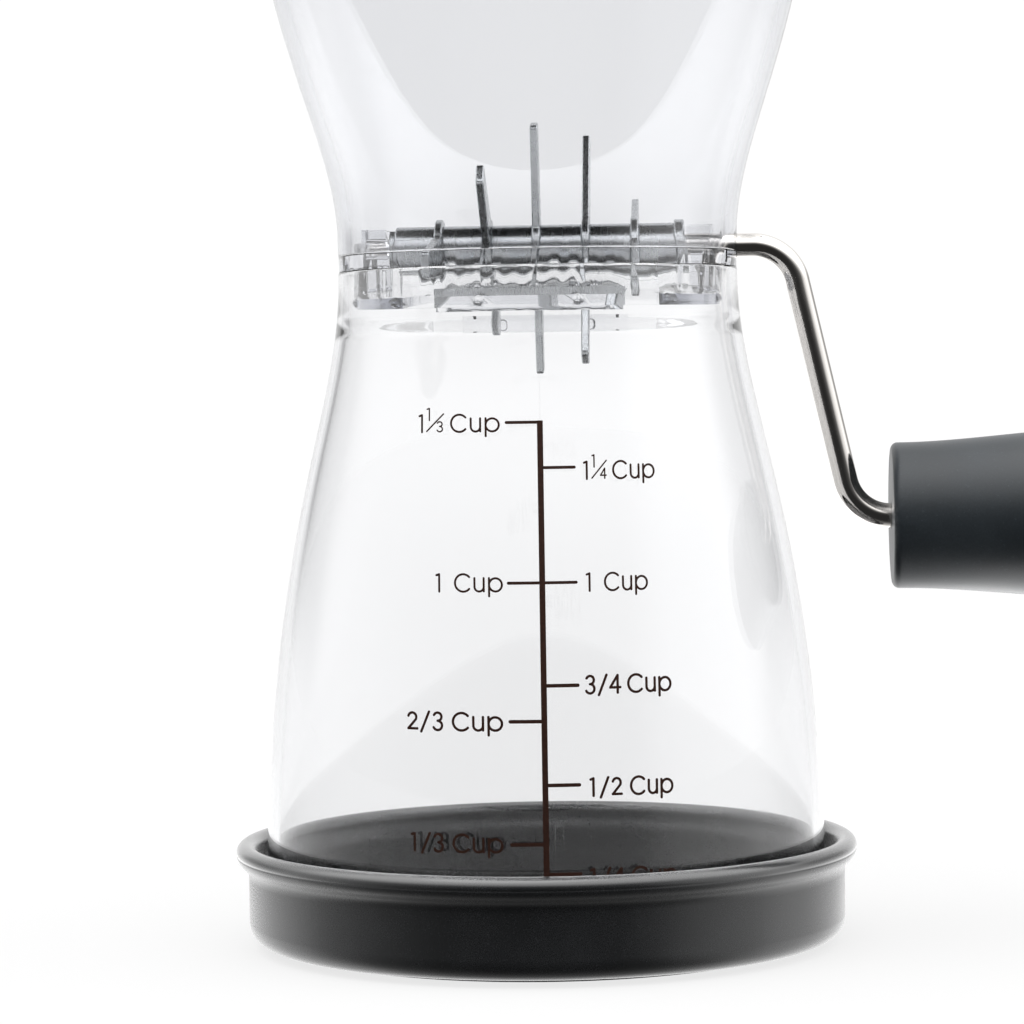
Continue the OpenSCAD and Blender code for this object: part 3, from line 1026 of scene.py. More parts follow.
@dataclass
class Lettering:
    """Plain single-line lettering, in units of its capital height.

    A glyph is a list of strokes, each a centre line, and a width.
    """

    gap: float = 0.22
    space: float = 0.15
    light: float = 0.68
    third_wide: float = 1.13
    quarter_wide: float = 1.0
    upper_size: float = 0.7
    upper_at: Pair = (-0.12, 0.67)
    lower_size: float = 0.58
    lower_at: Pair = (0.4, 0.02)
    part_w: float = 0.95

    def one(self) -> Glyph:
        """The figure 1: a stem with a short flag."""
        return [stroke((0.2, 0), (0.2, 0.98)), stroke((0.2, 0.98), (0.03, 0.92))], 0.43

    def two(self) -> Glyph:
        """The figure 2: a bow, a slope and a foot."""
        head = bow((0.35, 0.7), 0.25, 165, -42)
        return [np.concatenate([head, [(0.1, 0.06)]]), stroke((0.1, 0.06), (0.66, 0.06))], 0.68

    def three(self) -> Glyph:
        """The figure 3: two bows."""
        return [bow((0.33, 0.75), 0.23, 155, -90), bow((0.33, 0.26), 0.26, 90, -155)], 0.64

    def four(self) -> Glyph:
        """The figure 4: a slope, a bar and a stem."""
        bar = stroke((0.04, 0.3), (0.66, 0.3))
        return [stroke((0.5, 0), (0.5, 0.98)), stroke((0.5, 0.98), (0.04, 0.3)), bar], 0.58

    def slash(self) -> Glyph:
        """The stroke of a fraction."""
        return [stroke((0.0, -0.1), (0.48, 1.02))], 0.44

    def capital(self) -> Glyph:
        """A round capital C."""
        return [bow((0.56, 0.49), 0.49, 43, 317, steps=40)], 0.93

    def cup_u(self) -> Glyph:
        """A small u: a bowl between two stems."""
        bowl = np.concatenate([[(0.08, 0.76)], bow((0.35, 0.28), 0.27, 180, 360), [(0.62, 0.76)]])
        return [bowl, stroke((0.62, 0.3), (0.62, 0.02))], 0.63

    def cup_p(self) -> Glyph:
        """A small p: a stem and a round bowl."""
        return [stroke((0.08, 0.76), (0.08, -0.26)), bow((0.45, 0.38), 0.37, 0, 360, steps=40)], 0.84

    def part(self, lower: Glyph, wide: float) -> Glyph:
        """A small fraction of one over another figure: both figures shrunk, on either side of a long slash.

        Args:
            lower: Glyph of the figure below.
            wide: Stretch across.

        Returns:
            The glyph.
        """
        upper = [s * self.upper_size + self.upper_at for s in self.one()[0]]
        under = [s * self.lower_size + self.lower_at for s in lower[0]]
        strokes = [*upper, stroke((-0.13, 0.04), (0.8, 1.03)), *under]
        return [s * (wide, 1) for s in strokes], self.part_w * wide

    def written(self, text: str) -> tuple[list[tuple[Array, float]], float]:
        """Strokes of a text from its left end, and its width.

        Args:
            text: Figures, slashes, spaces and the letters C, u and p; t and q are a third and a quarter.

        Returns:
            The strokes, each with its share of the full weight, and the width in capital heights.
        """
        glyphs = {
            "1": self.one(), "2": self.two(), "3": self.three(), "4": self.four(), "/": self.slash(),
            "C": self.capital(), "u": self.cup_u(), "p": self.cup_p(),
            "t": self.part(self.three(), self.third_wide), "q": self.part(self.four(), self.quarter_wide),
        }
        strokes: list[tuple[Array, float]] = []
        pen = 0.0
        for sign in text:
            if sign == " ":
                pen += self.space
                continue
            shape, width = glyphs[sign]
            weight = self.light if sign in "tq" else 1.0
            strokes += [(s + (pen, 0), weight) for s in shape]
            pen += width + self.gap
        return strokes, pen - self.gap


@dataclass
class MeasuringCup:
    """The clear waisted cup and the scale printed on its front."""

    top_z: float = 99.6
    foot_z: float = 3.2
    waist_r: float = 29.5
    waist_run: float = 1.1
    waist_pull_z: float = 78.5
    foot_push_z: float = 60.6
    foot_r: float = 41.5
    wall: float = 1.6
    top_edge: float = 0.35
    foot_edge: float = 0.5
    around: int = 240
    bore_r: float = 28.0
    bore_z: float = 93.6
    lead_z: float = 89.4
    lead_steps: int = 40
    line_angle: float = -87.0
    line_top: float = 77.68
    line_foot: float = 15.2
    line_w: float = 0.82
    line_tip: float = 0.05
    tick: float = 4.7
    tick_w: float = 0.42
    letter_h: float = 2.44
    letter_w: float = 0.3
    ink_under: float = 0.02
    ink_over: float = 0.03
    ink_pitch: float = 0.3
    tip_steps: int = 5
    lettering: Lettering = field(default_factory=Lettering)
    marks: tuple[Mark, ...] = (
        Mark(77.47, Side.LEFT, "1tCup", 5.7, 1.04, 0.0, 1.0),
        Mark(71.16, Side.RIGHT, "1qCup", 6.0, 0.92, 0.45, 1.0),
        Mark(55.34, Side.LEFT, "1   Cup", 5.55, 1.0, -0.08, 1.0),
        Mark(55.34, Side.RIGHT, "1   Cup", 6.12, 0.92, 0.0, 1.0),
        Mark(41.26, Side.RIGHT, "3/4  Cup", 5.64, 0.945, -0.05, 1.2),
        Mark(36.4, Side.LEFT, "2/3  Cup", 5.8, 1.04, 0.0, 1.2),
        Mark(27.65, Side.RIGHT, "1/2  Cup", 6.2, 0.92, 0.35, 1.2),
        Mark(19.56, Side.LEFT, "1/3  Cup", 6.0, 1.03, -0.15, 1.2),
        Mark(15.42, Side.RIGHT, "1/4  Cup", 6.1, 0.975, 0.55, 1.2),
    )

    def outer_curve(self) -> Array:
        """The outside from the waist down to the foot, upright at both ends."""
        return bezier((self.waist_r, self.top_z - self.waist_run), (self.waist_r, self.waist_pull_z),
                      (self.foot_r, self.foot_push_z), (self.foot_r, self.foot_z), steps=96)

    def inner_curve(self) -> Array:
        """The inside from the foot up into the bore.

        It is the outside drawn in by the wall, led into the bore's radius by a smooth step, 3t^2 - 2t^3, in
        height.

        Returns:
            Array of points by two.
        """
        outside = self.outer_curve()[:-1][::-1]
        low = outside[outside[:, 1] < self.lead_z, 1]
        height = np.concatenate([low[1:], np.linspace(self.lead_z, self.bore_z, self.lead_steps)])
        radius = np.interp(height, outside[:, 1], outside[:, 0]) - self.wall
        part = np.clip((height - self.lead_z) / (self.bore_z - self.lead_z), 0, 1)
        radius += (self.bore_r - radius) * part ** 2 * (3 - 2 * part)
        return np.stack([radius, height], -1)

    def build(self, bench: Bench) -> None:
        """Builds the wall and its printed scale.

        Args:
            bench: Where pieces are made.
        """
        path = Outline().to((self.waist_r, self.top_z, self.top_edge)).along(self.outer_curve()[:-1])
        path.to((self.foot_r, self.foot_z, self.foot_edge),
                (self.foot_r - self.wall, self.foot_z, self.foot_edge))
        path.along(self.inner_curve()).to((self.bore_r, self.top_z, self.top_edge))
        bench.shaped("cup_wall", [turned(path.drawn(), columns=self.around)], "cup", CLEAR, ["cup"])
        bench.shaped("cup_scale", self.scale(), "cup", INK)

    def scale(self) -> list[Grid]:
        """The line, the ticks and the labels of the scale.

        Returns:
            A closed surface for each stroke of ink.
        """
        line = stroke((0, self.line_top), (0, self.line_foot))
        ribbons = [self.ribbon(line, self.line_w, self.line_tip)]
        for mark in self.marks:
            tick = stroke((0, mark.height), (mark.side.value * self.tick, mark.height))
            ribbons.append(self.ribbon(tick, self.tick_w * mark.weight))
            strokes, width = self.lettering.written(mark.label)
            stretch = np.array([self.letter_h * mark.wide, self.letter_h])
            start = mark.gap if mark.side is Side.RIGHT else -mark.gap - width * stretch[0]
            foot = mark.height - mark.drop - self.letter_h / 2
            for line, weight in strokes:
                thick = self.letter_w * weight * mark.weight
                ribbons.append(self.ribbon(line * stretch + (start, foot), thick))
        return ribbons

    def ribbon(self, line: Array, width: float, tip: float = 1.0) -> Grid:
        """A stroke of ink on the cup's outside, with rounded ends.

        The stroke's line is sampled evenly. In the tips the half width w becomes w sqrt(1 - e^2), where e
        goes from 0 to 1 towards the end. A point at s round and z up lies at the angle s / r(z) round the
        cup. The ink's two faces are just under and just over the cup's surface.

        Args:
            line: Array of points by two: distance round from the scale's line, and height.
            width: Width of the stroke.
            tip: Length of a rounded tip in half widths.

        Returns:
            A closed surface.
        """
        half = width / 2
        away = np.concatenate([[0], np.cumsum(np.linalg.norm(np.diff(line, axis=0), axis=1))])
        even = np.arange(0, away[-1], self.ink_pitch)
        whole = np.unique(np.round(np.concatenate([even, away]), 6))
        path = np.stack([np.interp(whole, away, line[:, k]) for k in (0, 1)], -1)
        ahead = np.gradient(path, whole, axis=0)
        ahead /= np.linalg.norm(ahead, axis=1)[:, None]
        ease = np.sin(np.linspace(0, np.pi / 2, self.tip_steps + 1))[1:]
        first = path[0] - ahead[0] * half * tip * ease[::-1, None]
        last = path[-1] + ahead[-1] * half * tip * ease[:, None]
        thin = np.sqrt(np.maximum(1 - ease ** 2, 0))
        path = np.concatenate([first, path, last])
        ahead = np.pad(ahead, ((self.tip_steps, self.tip_steps), (0, 0)), mode="edge")
        wide = half * np.concatenate([thin[::-1], np.ones(len(whole)), thin])[:, None]
        side = np.stack([-ahead[:, 1], ahead[:, 0]], -1) * wide
        flat = np.stack([path + side, path - side, path - side, path + side], 1)
        lift = np.array([-self.ink_under, -self.ink_under, self.ink_over, self.ink_over])
        curve = self.outer_curve()[::-1]
        radius = np.interp(flat[..., 1], curve[:, 1], curve[:, 0])
        slope = np.interp(flat[..., 1], curve[:, 1], np.gradient(curve[:, 0], curve[:, 1]))
        angle = radians(self.line_angle) + flat[..., 0] / radius
        tilt = 1 / np.sqrt(1 + slope ** 2)
        return Grid(Axis.UPRIGHT.place(radius + lift * tilt, flat[..., 1] - lift * tilt * slope, angle))


@dataclass
class Hopper:
    """The clear funnel, with a notch over the rod in its lower edge."""

    foot_z: float = 101.8
    waist_r: float = 29.5
    waist_run: float = 2.2
    waist_pull_z: float = 119.8
    rim_push_z: float = 135.9
    rim_r: float = 42.0
    rim_z: float = 176.0
    rim_h: float = 6.0
    wall: float = 2.0
    edge: float = 0.6
    foot_edge: float = 0.25
    foot_run: float = 0.6
    around: int = 240
    notch_r: float = 2.15
    notch_lip: float = 0.01
    notch_clear: float = 0.2
    notch_steps: int = 24

    def columns(self) -> Array:
        """Angles round the hopper: even steps clear of the notch, and steps across it that follow its arch.

        Returns:
            Angles in radians, in order.
        """
        even = np.arange(self.around) * 2 * np.pi / self.around - np.pi
        clear = np.abs(even) > (self.notch_r + self.notch_clear) / self.waist_r
        arch = self.notch_r * np.sin(np.linspace(-np.pi / 2, np.pi / 2, self.notch_steps + 1))
        beside = np.array([-1, 1]) * (self.notch_r + self.notch_lip)
        near = np.concatenate([arch, beside]) / self.waist_r
        return np.sort(np.concatenate([even[clear], near]))

    def build(self, bench: Bench) -> None:
        """Builds the funnel: a turned wall, raised at the notch to an arch about the shaft.

        Within the notch each point's height is at least the shaft's height plus sqrt(R^2 - y^2).

        Args:
            bench: Where pieces are made.
        """
        curve = bezier((self.waist_r, self.foot_z + self.waist_run), (self.waist_r, self.waist_pull_z),
                       (self.rim_r, self.rim_push_z), (self.rim_r, self.rim_z - self.rim_h), steps=80)
        low = np.linspace(self.foot_z + self.foot_run, self.foot_z + self.waist_run, 4)[:-1, None]
        outer = np.concatenate([np.concatenate([np.full_like(low, self.waist_r), low], 1), curve])
        inner = outer[::-1] - (self.wall, 0)
        path = Outline().to((self.waist_r - self.wall, self.foot_z, self.foot_edge),
                            (self.waist_r, self.foot_z, self.foot_edge))
        path.along(outer)
        path.to((self.rim_r, self.rim_z, self.edge), (self.rim_r - self.wall, self.rim_z, self.edge))
        line = path.along(inner).drawn()
        angle = self.columns()[None]
        beside = np.abs(angle) * self.waist_r
        arch = Axis.SHAFT.value + np.sqrt(np.maximum(self.notch_r ** 2 - beside ** 2, 0))
        lifted = np.where(beside <= self.notch_r + SAME_PLACE, np.maximum(line[:, 1:], arch), line[:, 1:])
        points = Axis.UPRIGHT.place(line[:, :1], lifted, angle)
        bench.shaped("hopper_wall", [Grid(points, loop_rows=True)], "hopper", HOPPER_CLEAR, ["hopper"])


@dataclass
class ChoppingHead:
    """The clear ring in the cup's neck and the two fixed combs staked to it."""

    ring_edge: float = 0.15
    comb_edge: float = 0.12

    def build(self, bench: Bench) -> None:
        """Builds the ring and its combs from their CAD shapes, with rounded edges.

        Args:
            bench: Where pieces are made.
        """
        bench.copied("carrier_ring", "head", CLEAR, self.ring_edge)
        bench.copied("coarse_comb", "head", SHEET_STEEL, self.comb_edge)
        bench.copied("fine_comb", "head", SHEET_STEEL, self.comb_edge)


@dataclass
class TineRotor:
    """The bent rod and what it carries: tines, spacers, clip, collar and the grip's washer."""

    rod_r: float = 1.8
    rod_around: int = 56
    start_x: float = -25.0
    chamfer: float = 0.35
    groove_x: Pair = (-21.7, -20.9)
    groove_r: float = 1.2
    ledge: float = 0.02
    stack_x: float = -20.9
    collar_x: float = 20.2
    collar_t: float = 1.5
    collar_r: float = 4.0
    collar_edge: float = 0.3
    flat: float = 1.4
    shaft_mid_x: float = 26.0
    bend_x: float = 31.7
    bend_r: float = 6.8
    bend_steps: int = 28
    lean: float = 12.8
    arm: float = 30.265
    run_out: float = 0.5
    journal_mid_x: float = 75.0
    level_run: float = 30.0
    rivet_x: float = 99.267
    rivet_r: float = 2.7
    rivet_h: float = 1.0
    rivet_power: float = 0.7
    rivet_steps: int = 8
    washer_x: float = 98.267
    washer_r: float = 4.2
    washer_edge: float = 0.15
    clip_edge: float = 0.1
    tine_x: tuple[float, ...] = (-14.4, -7.2, 0.0, 7.2, 14.4)
    tine_turn: tuple[float, ...] = (98.0, 56.0, 14.0, -28.0, -70.0)
    tine_t: float = 1.1
    reach: float = 18.8
    root: float = 2.7
    root_round: float = 0.5
    tip: float = 1.7
    tip_round: float = 0.6
    hub: float = 4.5
    hub_steps: int = 28
    hub_clear: float = 1.0
    meet_steps: int = 2000
    face_inset: float = 0.16
    face_share: float = 0.72
    spacer_r: float = 3.5
    spacer_edge: float = 0.2
    tube_around: int = 72
    bore: float = 1.85

    def centre_line(self) -> tuple[Array, Array]:
        """The rod's centre line in the XZ plane and its radius at each point.

        It runs straight along the shaft, down an arc, along the leaning arm, back by an arc and straight
        along the journal. The radius drops at the first end's chamfer and the clip's groove, and swells
        into the rivet's dome, whose radius is the rivet's times a power of the cosine.

        Returns:
            Array of points by two, and the radius at each.
        """
        shaft_z = Axis.SHAFT.value
        journal_z = Axis.JOURNAL.value
        low, high = self.groove_x
        full = self.rod_r
        shaft = np.array([
            (self.start_x, 0),
            (self.start_x, full - self.chamfer),
            (self.start_x + self.chamfer, full),
            (low, full),
            (low + self.ledge, self.groove_r),
            (high - self.ledge, self.groove_r),
            (high, full),
            (self.stack_x + self.ledge, full),
            (self.collar_x, full),
            (self.collar_x + self.ledge, full),
            (self.shaft_mid_x, full),
            (self.bend_x, full),
        ])
        first = bow((self.bend_x, shaft_z - self.bend_r), self.bend_r, 90, self.lean, self.bend_steps)
        cos, sin = np.cos(radians(self.lean)), np.sin(radians(self.lean))
        corner = first[-1] + self.arm * np.array([sin, -cos]) + self.bend_r * np.array([cos, sin])
        second = bow(tuple(corner), self.bend_r, 180 + self.lean, 270, self.bend_steps)
        dome = np.linspace(0, np.pi / 2, self.rivet_steps + 1)
        end_x = self.rivet_x + self.rivet_h * np.sin(dome)
        end_r = self.rivet_r * np.cos(dome) ** self.rivet_power
        straight = np.array([second[-1, 0] + self.run_out, self.journal_mid_x, self.rivet_x - self.ledge])
        bent = np.concatenate([first[1:], second])
        across = np.concatenate([shaft[:, 0], bent[:, 0], straight, end_x])
        up = np.concatenate([np.full(len(shaft), shaft_z), bent[:, 1],
                             np.full(len(straight) + len(end_x), journal_z)])
        radius = np.concatenate([shaft[:, 1], np.full(len(bent) + len(straight), full), end_r])
        return np.stack([across, up], -1), radius

    def rod(self) -> Grid:
        """The rod: a circle carried along the centre line, square to it, with two flats along the stack.

        Returns:
            The surface.
        """
        line, radius = self.centre_line()
        ahead = np.gradient(line, axis=0)
        ahead /= np.maximum(np.linalg.norm(ahead, axis=1), TINY)[:, None]
        level = (line[:, 0] < self.bend_x - SAME_PLACE) | (line[:, 0] > self.washer_x - self.level_run)
        ahead[level] = (1, 0)
        angle = np.linspace(0, 2 * np.pi, self.rod_around, endpoint=False)[None]
        side = radius[:, None] * np.cos(angle)
        up = radius[:, None] * np.sin(angle)
        spare = self.ledge / 2
        on_stack = (line[:, 0] > self.stack_x + spare) & (line[:, 0] < self.collar_x + spare)
        side = np.where(on_stack[:, None], np.clip(side, -self.flat, self.flat), side)
        x = line[:, :1] - ahead[:, 1:] * up
        z = line[:, 1:] + ahead[:, :1] * up
        return Grid(np.stack([x, side, z], -1))

    def tine(self, x: float, turn: float) -> Grid:
        """A double-ended tine: an outline drawn in at both faces and closed round the hole for the shaft.

        Args:
            x: Place of its middle along the shaft.
            turn: Turn from upright, in degrees.

        Returns:
            A closed plate.
        """
        taper = (self.root - self.tip) / self.reach
        meet = np.linspace(0, self.reach, self.meet_steps)
        near = meet[np.argmin(np.abs(np.hypot(meet, self.root - taper * meet) - self.hub))]
        wide = self.root - taper * near
        begin = np.degrees(np.arctan2(near, wide))
        hub = bow((0, 0), self.hub, begin - 180, 180 - begin, self.hub_steps)
        hub = hub[np.abs(np.degrees(np.arctan2(hub[:, 1], hub[:, 0]))) < begin - self.hub_clear]
        path = Outline()
        for sign in (1, -1):
            path.to((sign * self.tip, -sign * self.reach, self.tip_round))
            path.to((sign * wide, -sign * near, self.root_round)).along(sign * hub)
            path.to((sign * wide, sign * near, self.root_round))
            path.to((sign * self.tip, sign * self.reach, self.tip_round))
        edge = path.drawn(5)
        ahead = np.roll(edge, -1, 0) - np.roll(edge, 1, 0)
        ahead /= np.linalg.norm(ahead, axis=1)[:, None]
        inset = edge - self.face_inset * np.stack([ahead[:, 1], -ahead[:, 0]], -1)
        polar = np.arctan2(edge[:, 1], edge[:, 0])
        ring = self.bore * np.stack([np.cos(polar), np.sin(polar)], -1)
        rows = np.stack([ring, inset, edge, edge, inset, ring])
        depth = np.array([-1, -1, -self.face_share, self.face_share, 1, 1]) * self.tine_t / 2
        cos, sin = np.cos(radians(turn)), np.sin(radians(turn))
        y = rows[..., 0] * cos - rows[..., 1] * sin
        z = rows[..., 0] * sin + rows[..., 1] * cos
        across = np.broadcast_to(x + depth[:, None], y.shape)
        return Grid(np.stack([across, y, z + Axis.SHAFT.value], -1), loop_rows=True)

    def tube(self, axis: Axis, start: float, end: float, radius: float, edge: float) -> Grid:
        """A short tube or washer on the rod, with rounded edges.

        Args:
            axis: Line that it is turned about.
            start: Where it begins along the line.
            end: Where it ends.
            radius: Its outside.
            edge: Radius of its edges.

        Returns:
            A closed ring.
        """
        path = Outline().to((self.bore, start, 0), (radius, start, edge))
        path.to((radius, end, edge), (self.bore, end, 0))
        return turned(path.drawn(4, support=0.1), axis, self.tube_around)

    def build(self, bench: Bench) -> None:
        """Builds the rod and everything that turns with it.

        Args:
            bench: Where pieces are made.
        """
        bench.shaped("crank", [self.rod()], "rotor", ROD_STEEL, ["crank_rod"])
        starts = [self.stack_x] + [x + self.tine_t / 2 for x in self.tine_x]
        ends = [x - self.tine_t / 2 for x in self.tine_x] + [self.collar_x]
        for number, (start, end) in enumerate(zip(starts, ends), 1):
            sleeve = self.tube(Axis.SHAFT, start, end, self.spacer_r, self.spacer_edge)
            bench.shaped(f"sleeve_{number}", [sleeve], "rotor", TUBE_STEEL, [f"spacer_{number}"])
        for number, (x, turn) in enumerate(zip(self.tine_x, self.tine_turn), 1):
            blade = self.tine(x, turn)
            bench.shaped(f"blade_{number}", [blade], "rotor", SHEET_STEEL, [f"tine_{number}"])
        collar_end = self.collar_x + self.collar_t
        collar = self.tube(Axis.SHAFT, self.collar_x, collar_end, self.collar_r, self.collar_edge)
        bench.shaped("collar", [collar], "rotor", TUBE_STEEL, ["shaft_collar"])
        bench.copied("shaft_clip", "rotor", SHEET_STEEL, self.clip_edge)
        washer = self.tube(Axis.JOURNAL, self.washer_x, self.rivet_x, self.washer_r, self.washer_edge)
        bench.shaped("washer", [washer], "rotor", TUBE_STEEL, ["grip_washer"])


@dataclass
class Grip:
    """The dark turning grip and the plug in its end."""

    start_x: float = 51.967
    length: float = 56.0
    small_r: float = 10.75
    large_r: float = 13.0
    swell_x: float = 40.0
    swell_pull_x: float = 12.0
    swell_push_x: float = 24.0
    tail_pull_x: float = 49.6
    tail_push_r: float = 10.0
    edge: float = 1.0
    lip: float = 0.3
    end_r: float = 7.0
    bore: float = 1.85
    bore_edge: float = 0.3
    pocket_r: float = 5.0
    pocket_x: float = 46.0
    pocket_fillet: float = 0.1
    cap_r: float = 6.0
    cap_x: float = 53.0
    cap_gap: float = 0.05
    cap_foot_edge: float = 0.2
    cap_edge: float = 0.4
    mouth_edge: float = 0.25
    around: int = 144
    cap_around: int = 96

    def body(self) -> Array:
        """The grip's outline: a swell to its widest, a rounded end, then the mouth, the pocket and the bore.

        Returns:
            Array of points by two, from the grip's inner end.
        """
        swell = bezier((self.small_r, self.edge), (self.small_r, self.swell_pull_x),
                       (self.large_r, self.swell_push_x), (self.large_r, self.swell_x))
        tail = bezier((self.large_r, self.swell_x), (self.large_r, self.tail_pull_x),
                      (self.tail_push_r, self.length), (self.end_r, self.length))
        mouth_r = self.cap_r + self.cap_gap
        fillet = self.pocket_fillet
        path = Outline().to((self.bore, -self.lip, self.bore_edge), (self.small_r, -self.lip, self.edge))
        path.along(swell[1:]).along(tail[1:])
        path.to((mouth_r, self.length, self.mouth_edge), (mouth_r, self.cap_x, fillet))
        path.to((self.pocket_r, self.cap_x, fillet), (self.pocket_r, self.pocket_x, fillet))
        return path.to((self.bore, self.pocket_x, fillet)).drawn()

    def plug(self) -> Array:
        """The plug's outline, from the axis out and back, measured from the grip's inner end."""
        path = Outline().to((0, self.cap_x, 0), (self.cap_r, self.cap_x, self.cap_foot_edge))
        return path.to((self.cap_r, self.length, self.cap_edge), (0, self.length, 0)).drawn()

    def build(self, bench: Bench) -> None:
        """Builds the grip and its end plug, both turned about the journal.

        Args:
            bench: Where pieces are made.
        """
        move = (0, self.start_x)
        body = turned(self.body() + move, Axis.JOURNAL, self.around)
        bench.shaped("grip_body", [body], "grip", SLATE, ["grip"])
        plug = turned(self.plug() + move, Axis.JOURNAL, self.cap_around, hollow=False)
        bench.shaped("grip_plug", [plug], "grip", SLATE, ["grip_end_cap"])


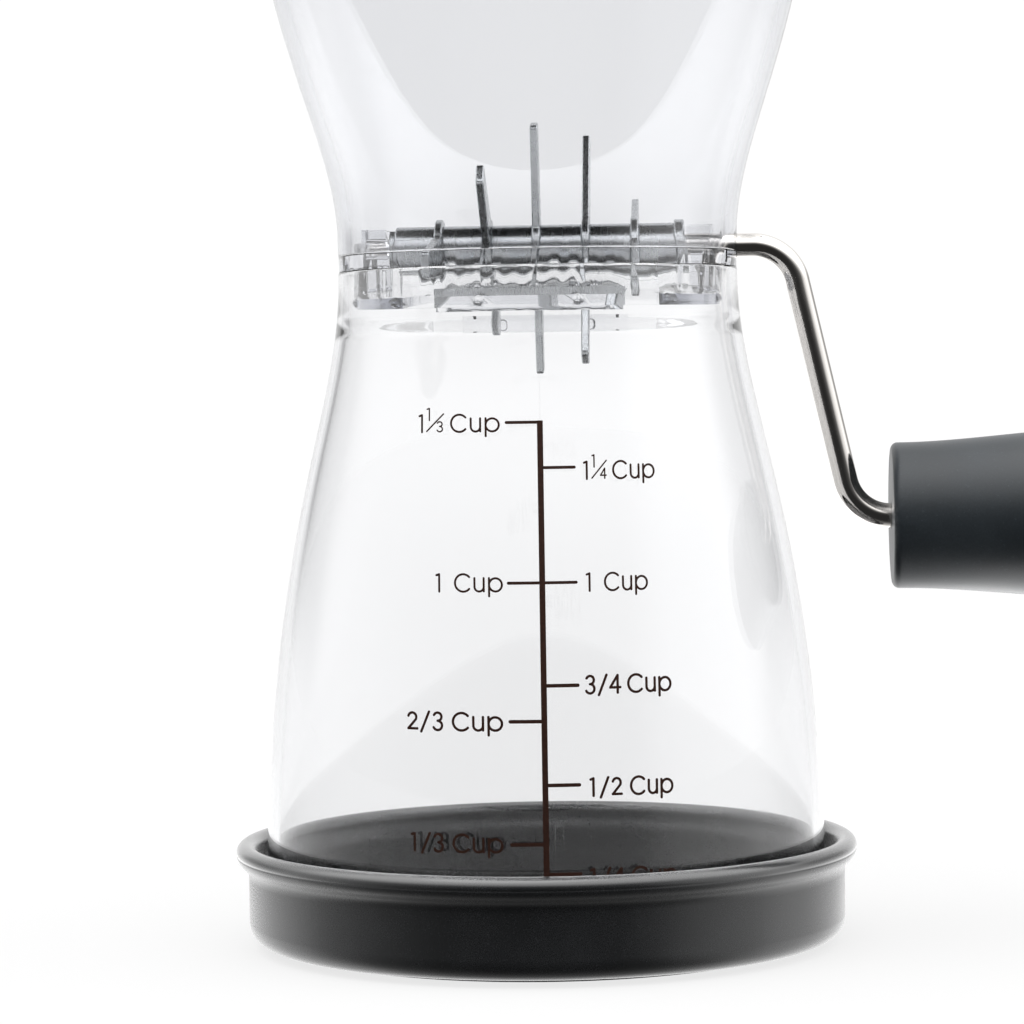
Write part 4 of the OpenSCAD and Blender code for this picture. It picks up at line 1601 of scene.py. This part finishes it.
@dataclass
class Studio:
    """A pale floor, a soft sky of light and the camera at the photograph's angle."""

    floor_half: float = 6000.0
    floor_drop: float = 0.02
    floor_tone: float = 0.1
    floor_glow: float = 0.78
    mottle_grain: float = 60.0
    mottle: float = 1.02
    back_level: float = 1.05
    front_level: float = 0.03
    dark_at: float = -1.05
    white_at: float = 0.3
    lean_up: float = 0.5
    flag_depth: float = 0.55
    flag_side: Quad = (0.49, 0.56, 0.86, 0.96)
    flag_height: Quad = (-0.04, 0.1, 0.2, 0.4)
    flag_back: Pair = (0.0, 0.2)
    right_level: float = 0.6
    right_side: Pair = (0.6, 0.9)
    right_back: Pair = (0.1, 0.5)
    table_level: float = 0.85
    table_height: Quad = (-0.95, -0.75, -0.2, -0.03)
    table_back: Pair = (-0.1, 0.4)
    dome_level: float = 2.4
    dome_height: Pair = (0.2, 0.75)
    dome_back: Pair = (0.1, 0.6)
    dome_loss: float = 0.9
    lens: float = 125.8
    sensor: float = 36.0
    place: Triple = (28.0, -529.7, 83.07)
    pitch: float = -2.077
    yaw: float = 3.495
    roll: float = 0.887
    lamp_energy: float = 0.5
    lamp_angle: float = 40.0
    lamp_tip: float = 12.0
    lamp_lean: float = -8.0
    bounce_energy: float = 0.08
    bounce_size: float = 100.0
    bounce_at: Triple = (110.0, 32.0, 14.0)

    def build(self) -> None:
        """Builds the floor, the sky, the overhead lamp and the camera; the bounce light is added apart."""
        self.floor()
        self.sky()
        self.lamp()
        self.camera()
        bpy.context.scene.view_settings.view_transform = "Standard"

    def floor(self) -> None:
        """A wide pale sheet just under the object; the sky alone lights the object from below."""
        half = self.floor_half * MM
        low = -self.floor_drop * MM
        corners = [(-half, -half, low), (half, -half, low), (half, half, low), (-half, half, low)]
        mesh = bpy.data.meshes.new("floor")
        mesh.from_pydata(corners, [], [(0, 1, 2, 3)])
        material, graph = surfaced("pale_floor")
        dark = (self.floor_tone,) * 3
        pale = (self.floor_tone * self.mottle,) * 3
        mottle = graph.noise(graph.place(), self.mottle_grain, detail=3.0)
        closed(graph, {
            "Base Color": graph.blend(mottle, dark, pale),
            "Roughness": 0.9,
            "Specular IOR Level": 0.0,
            "Emission Color": (1, 1, 1, 1),
            "Emission Strength": self.floor_glow,
        })
        mesh.materials.append(material)
        sheet = bpy.data.objects.new("floor", mesh)
        sheet.visible_diffuse = False
        sheet.visible_glossy = False
        bpy.context.scene.collection.objects.link(sheet)

    def sky(self) -> None:
        """The light all round, by direction.

        It is white behind and above and falls smoothly to dark in front and below, by y plus a share of z.
        Two grey flags, left and right of the white background, give the clear walls their edges. A panel
        stands at the right, the level below is raised where a bright table would be seen, and a dome above
        is brightest towards the front. A pair of numbers is where a part of the sky begins and is full;
        four are where it begins, is full, falls and ends.
        """
        world = bpy.data.worlds.new("studio")
        world.use_nodes = True
        bpy.context.scene.world = world
        graph = Graph(world.node_tree)
        way = graph.node("SeparateXYZ", {}, {0: graph.value("TexCoord", {}, {}, "Generated")})
        x, y, z = (Value(graph, way.outputs[i]) for i in range(3))
        white = graph.step(y + z * self.lean_up, self.dark_at, self.white_at)
        aside = graph.math("ABSOLUTE", x)
        flag = graph.band(aside, *self.flag_side) * graph.step(y, *self.flag_back)
        flag = flag * graph.band(z, *self.flag_height)
        right = graph.step(x, *self.right_side) * (1 - graph.step(y, *self.right_back))
        table = graph.band(z, *self.table_height) * graph.step(y, *self.table_back)
        dome = graph.step(z, *self.dome_height) * (1 - graph.step(y, *self.dome_back) * self.dome_loss)
        light = white * (self.back_level - self.front_level) * (1 - flag * self.flag_depth)
        light = light + table * self.table_level + right * self.right_level
        light = light + dome * self.dome_level + self.front_level
        shader = graph.value("Background", {}, {"Color": (1, 1, 1, 1), "Strength": light})
        graph.node("OutputWorld", {}, {"Surface": shader})

    def lamp(self) -> None:
        """A broad soft light from above, a little in front and to the left."""
        data = bpy.data.lights.new("overhead", "SUN")
        data.energy = self.lamp_energy
        data.angle = radians(self.lamp_angle)
        lamp = bpy.data.objects.new("overhead", data)
        lamp.rotation_euler = (radians(self.lamp_tip), radians(self.lamp_lean), 0)
        bpy.context.scene.collection.objects.link(lamp)

    def bounce(self, lit: Sequence[bpy.types.Object]) -> None:
        """The light that a white table throws back up.

        Args:
            lit: The pieces that it lights; no other piece shows it.
        """
        data = bpy.data.lights.new("bounce", "AREA")
        data.energy = self.bounce_energy
        data.size = self.bounce_size * MM
        lamp = bpy.data.objects.new("bounce", data)
        lamp.location = [p * MM for p in self.bounce_at]
        lamp.rotation_euler = (radians(180), 0, 0)
        lamp.visible_camera = False
        lamp.visible_transmission = False
        bpy.context.scene.collection.objects.link(lamp)
        group = bpy.data.collections.new("bounce_lit")
        for piece in lit:
            group.objects.link(piece)
        lamp.light_linking.receiver_collection = group

    def camera(self) -> None:
        """The camera: level along +Y, turned to its yaw, tipped to its pitch and rolled about its line."""
        data = bpy.data.cameras.new("camera")
        data.lens = self.lens
        data.sensor_width = self.sensor
        camera = bpy.data.objects.new("camera", data)
        turn = Matrix.Rotation(radians(self.yaw), 4, "Z")
        turn = turn @ Matrix.Rotation(radians(90 + self.pitch), 4, "X")
        turn = turn @ Matrix.Rotation(radians(-self.roll), 4, "Z")
        camera.matrix_world = Matrix.Translation([p * MM for p in self.place]) @ turn
        bpy.context.scene.collection.objects.link(camera)
        bpy.context.scene.camera = camera


def main() -> None:
    """Builds the stage and every sub-assembly."""
    logging.basicConfig(level=logging.INFO, format="%(name)s %(message)s")
    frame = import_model()
    bench = Bench(frame["nodes"])
    studio = Studio()
    studio.build()
    for unit in (BaseUnit(), MeasuringCup(), ChoppingHead(), Hopper(), Lid(), TineRotor(), Grip()):
        unit.build(bench)
        LOG.info("%s done", type(unit).__name__)
    studio.bounce([bpy.data.objects[name] for name in ("grip_body", "grip_plug")])


if __name__ == "__main__":
    main()
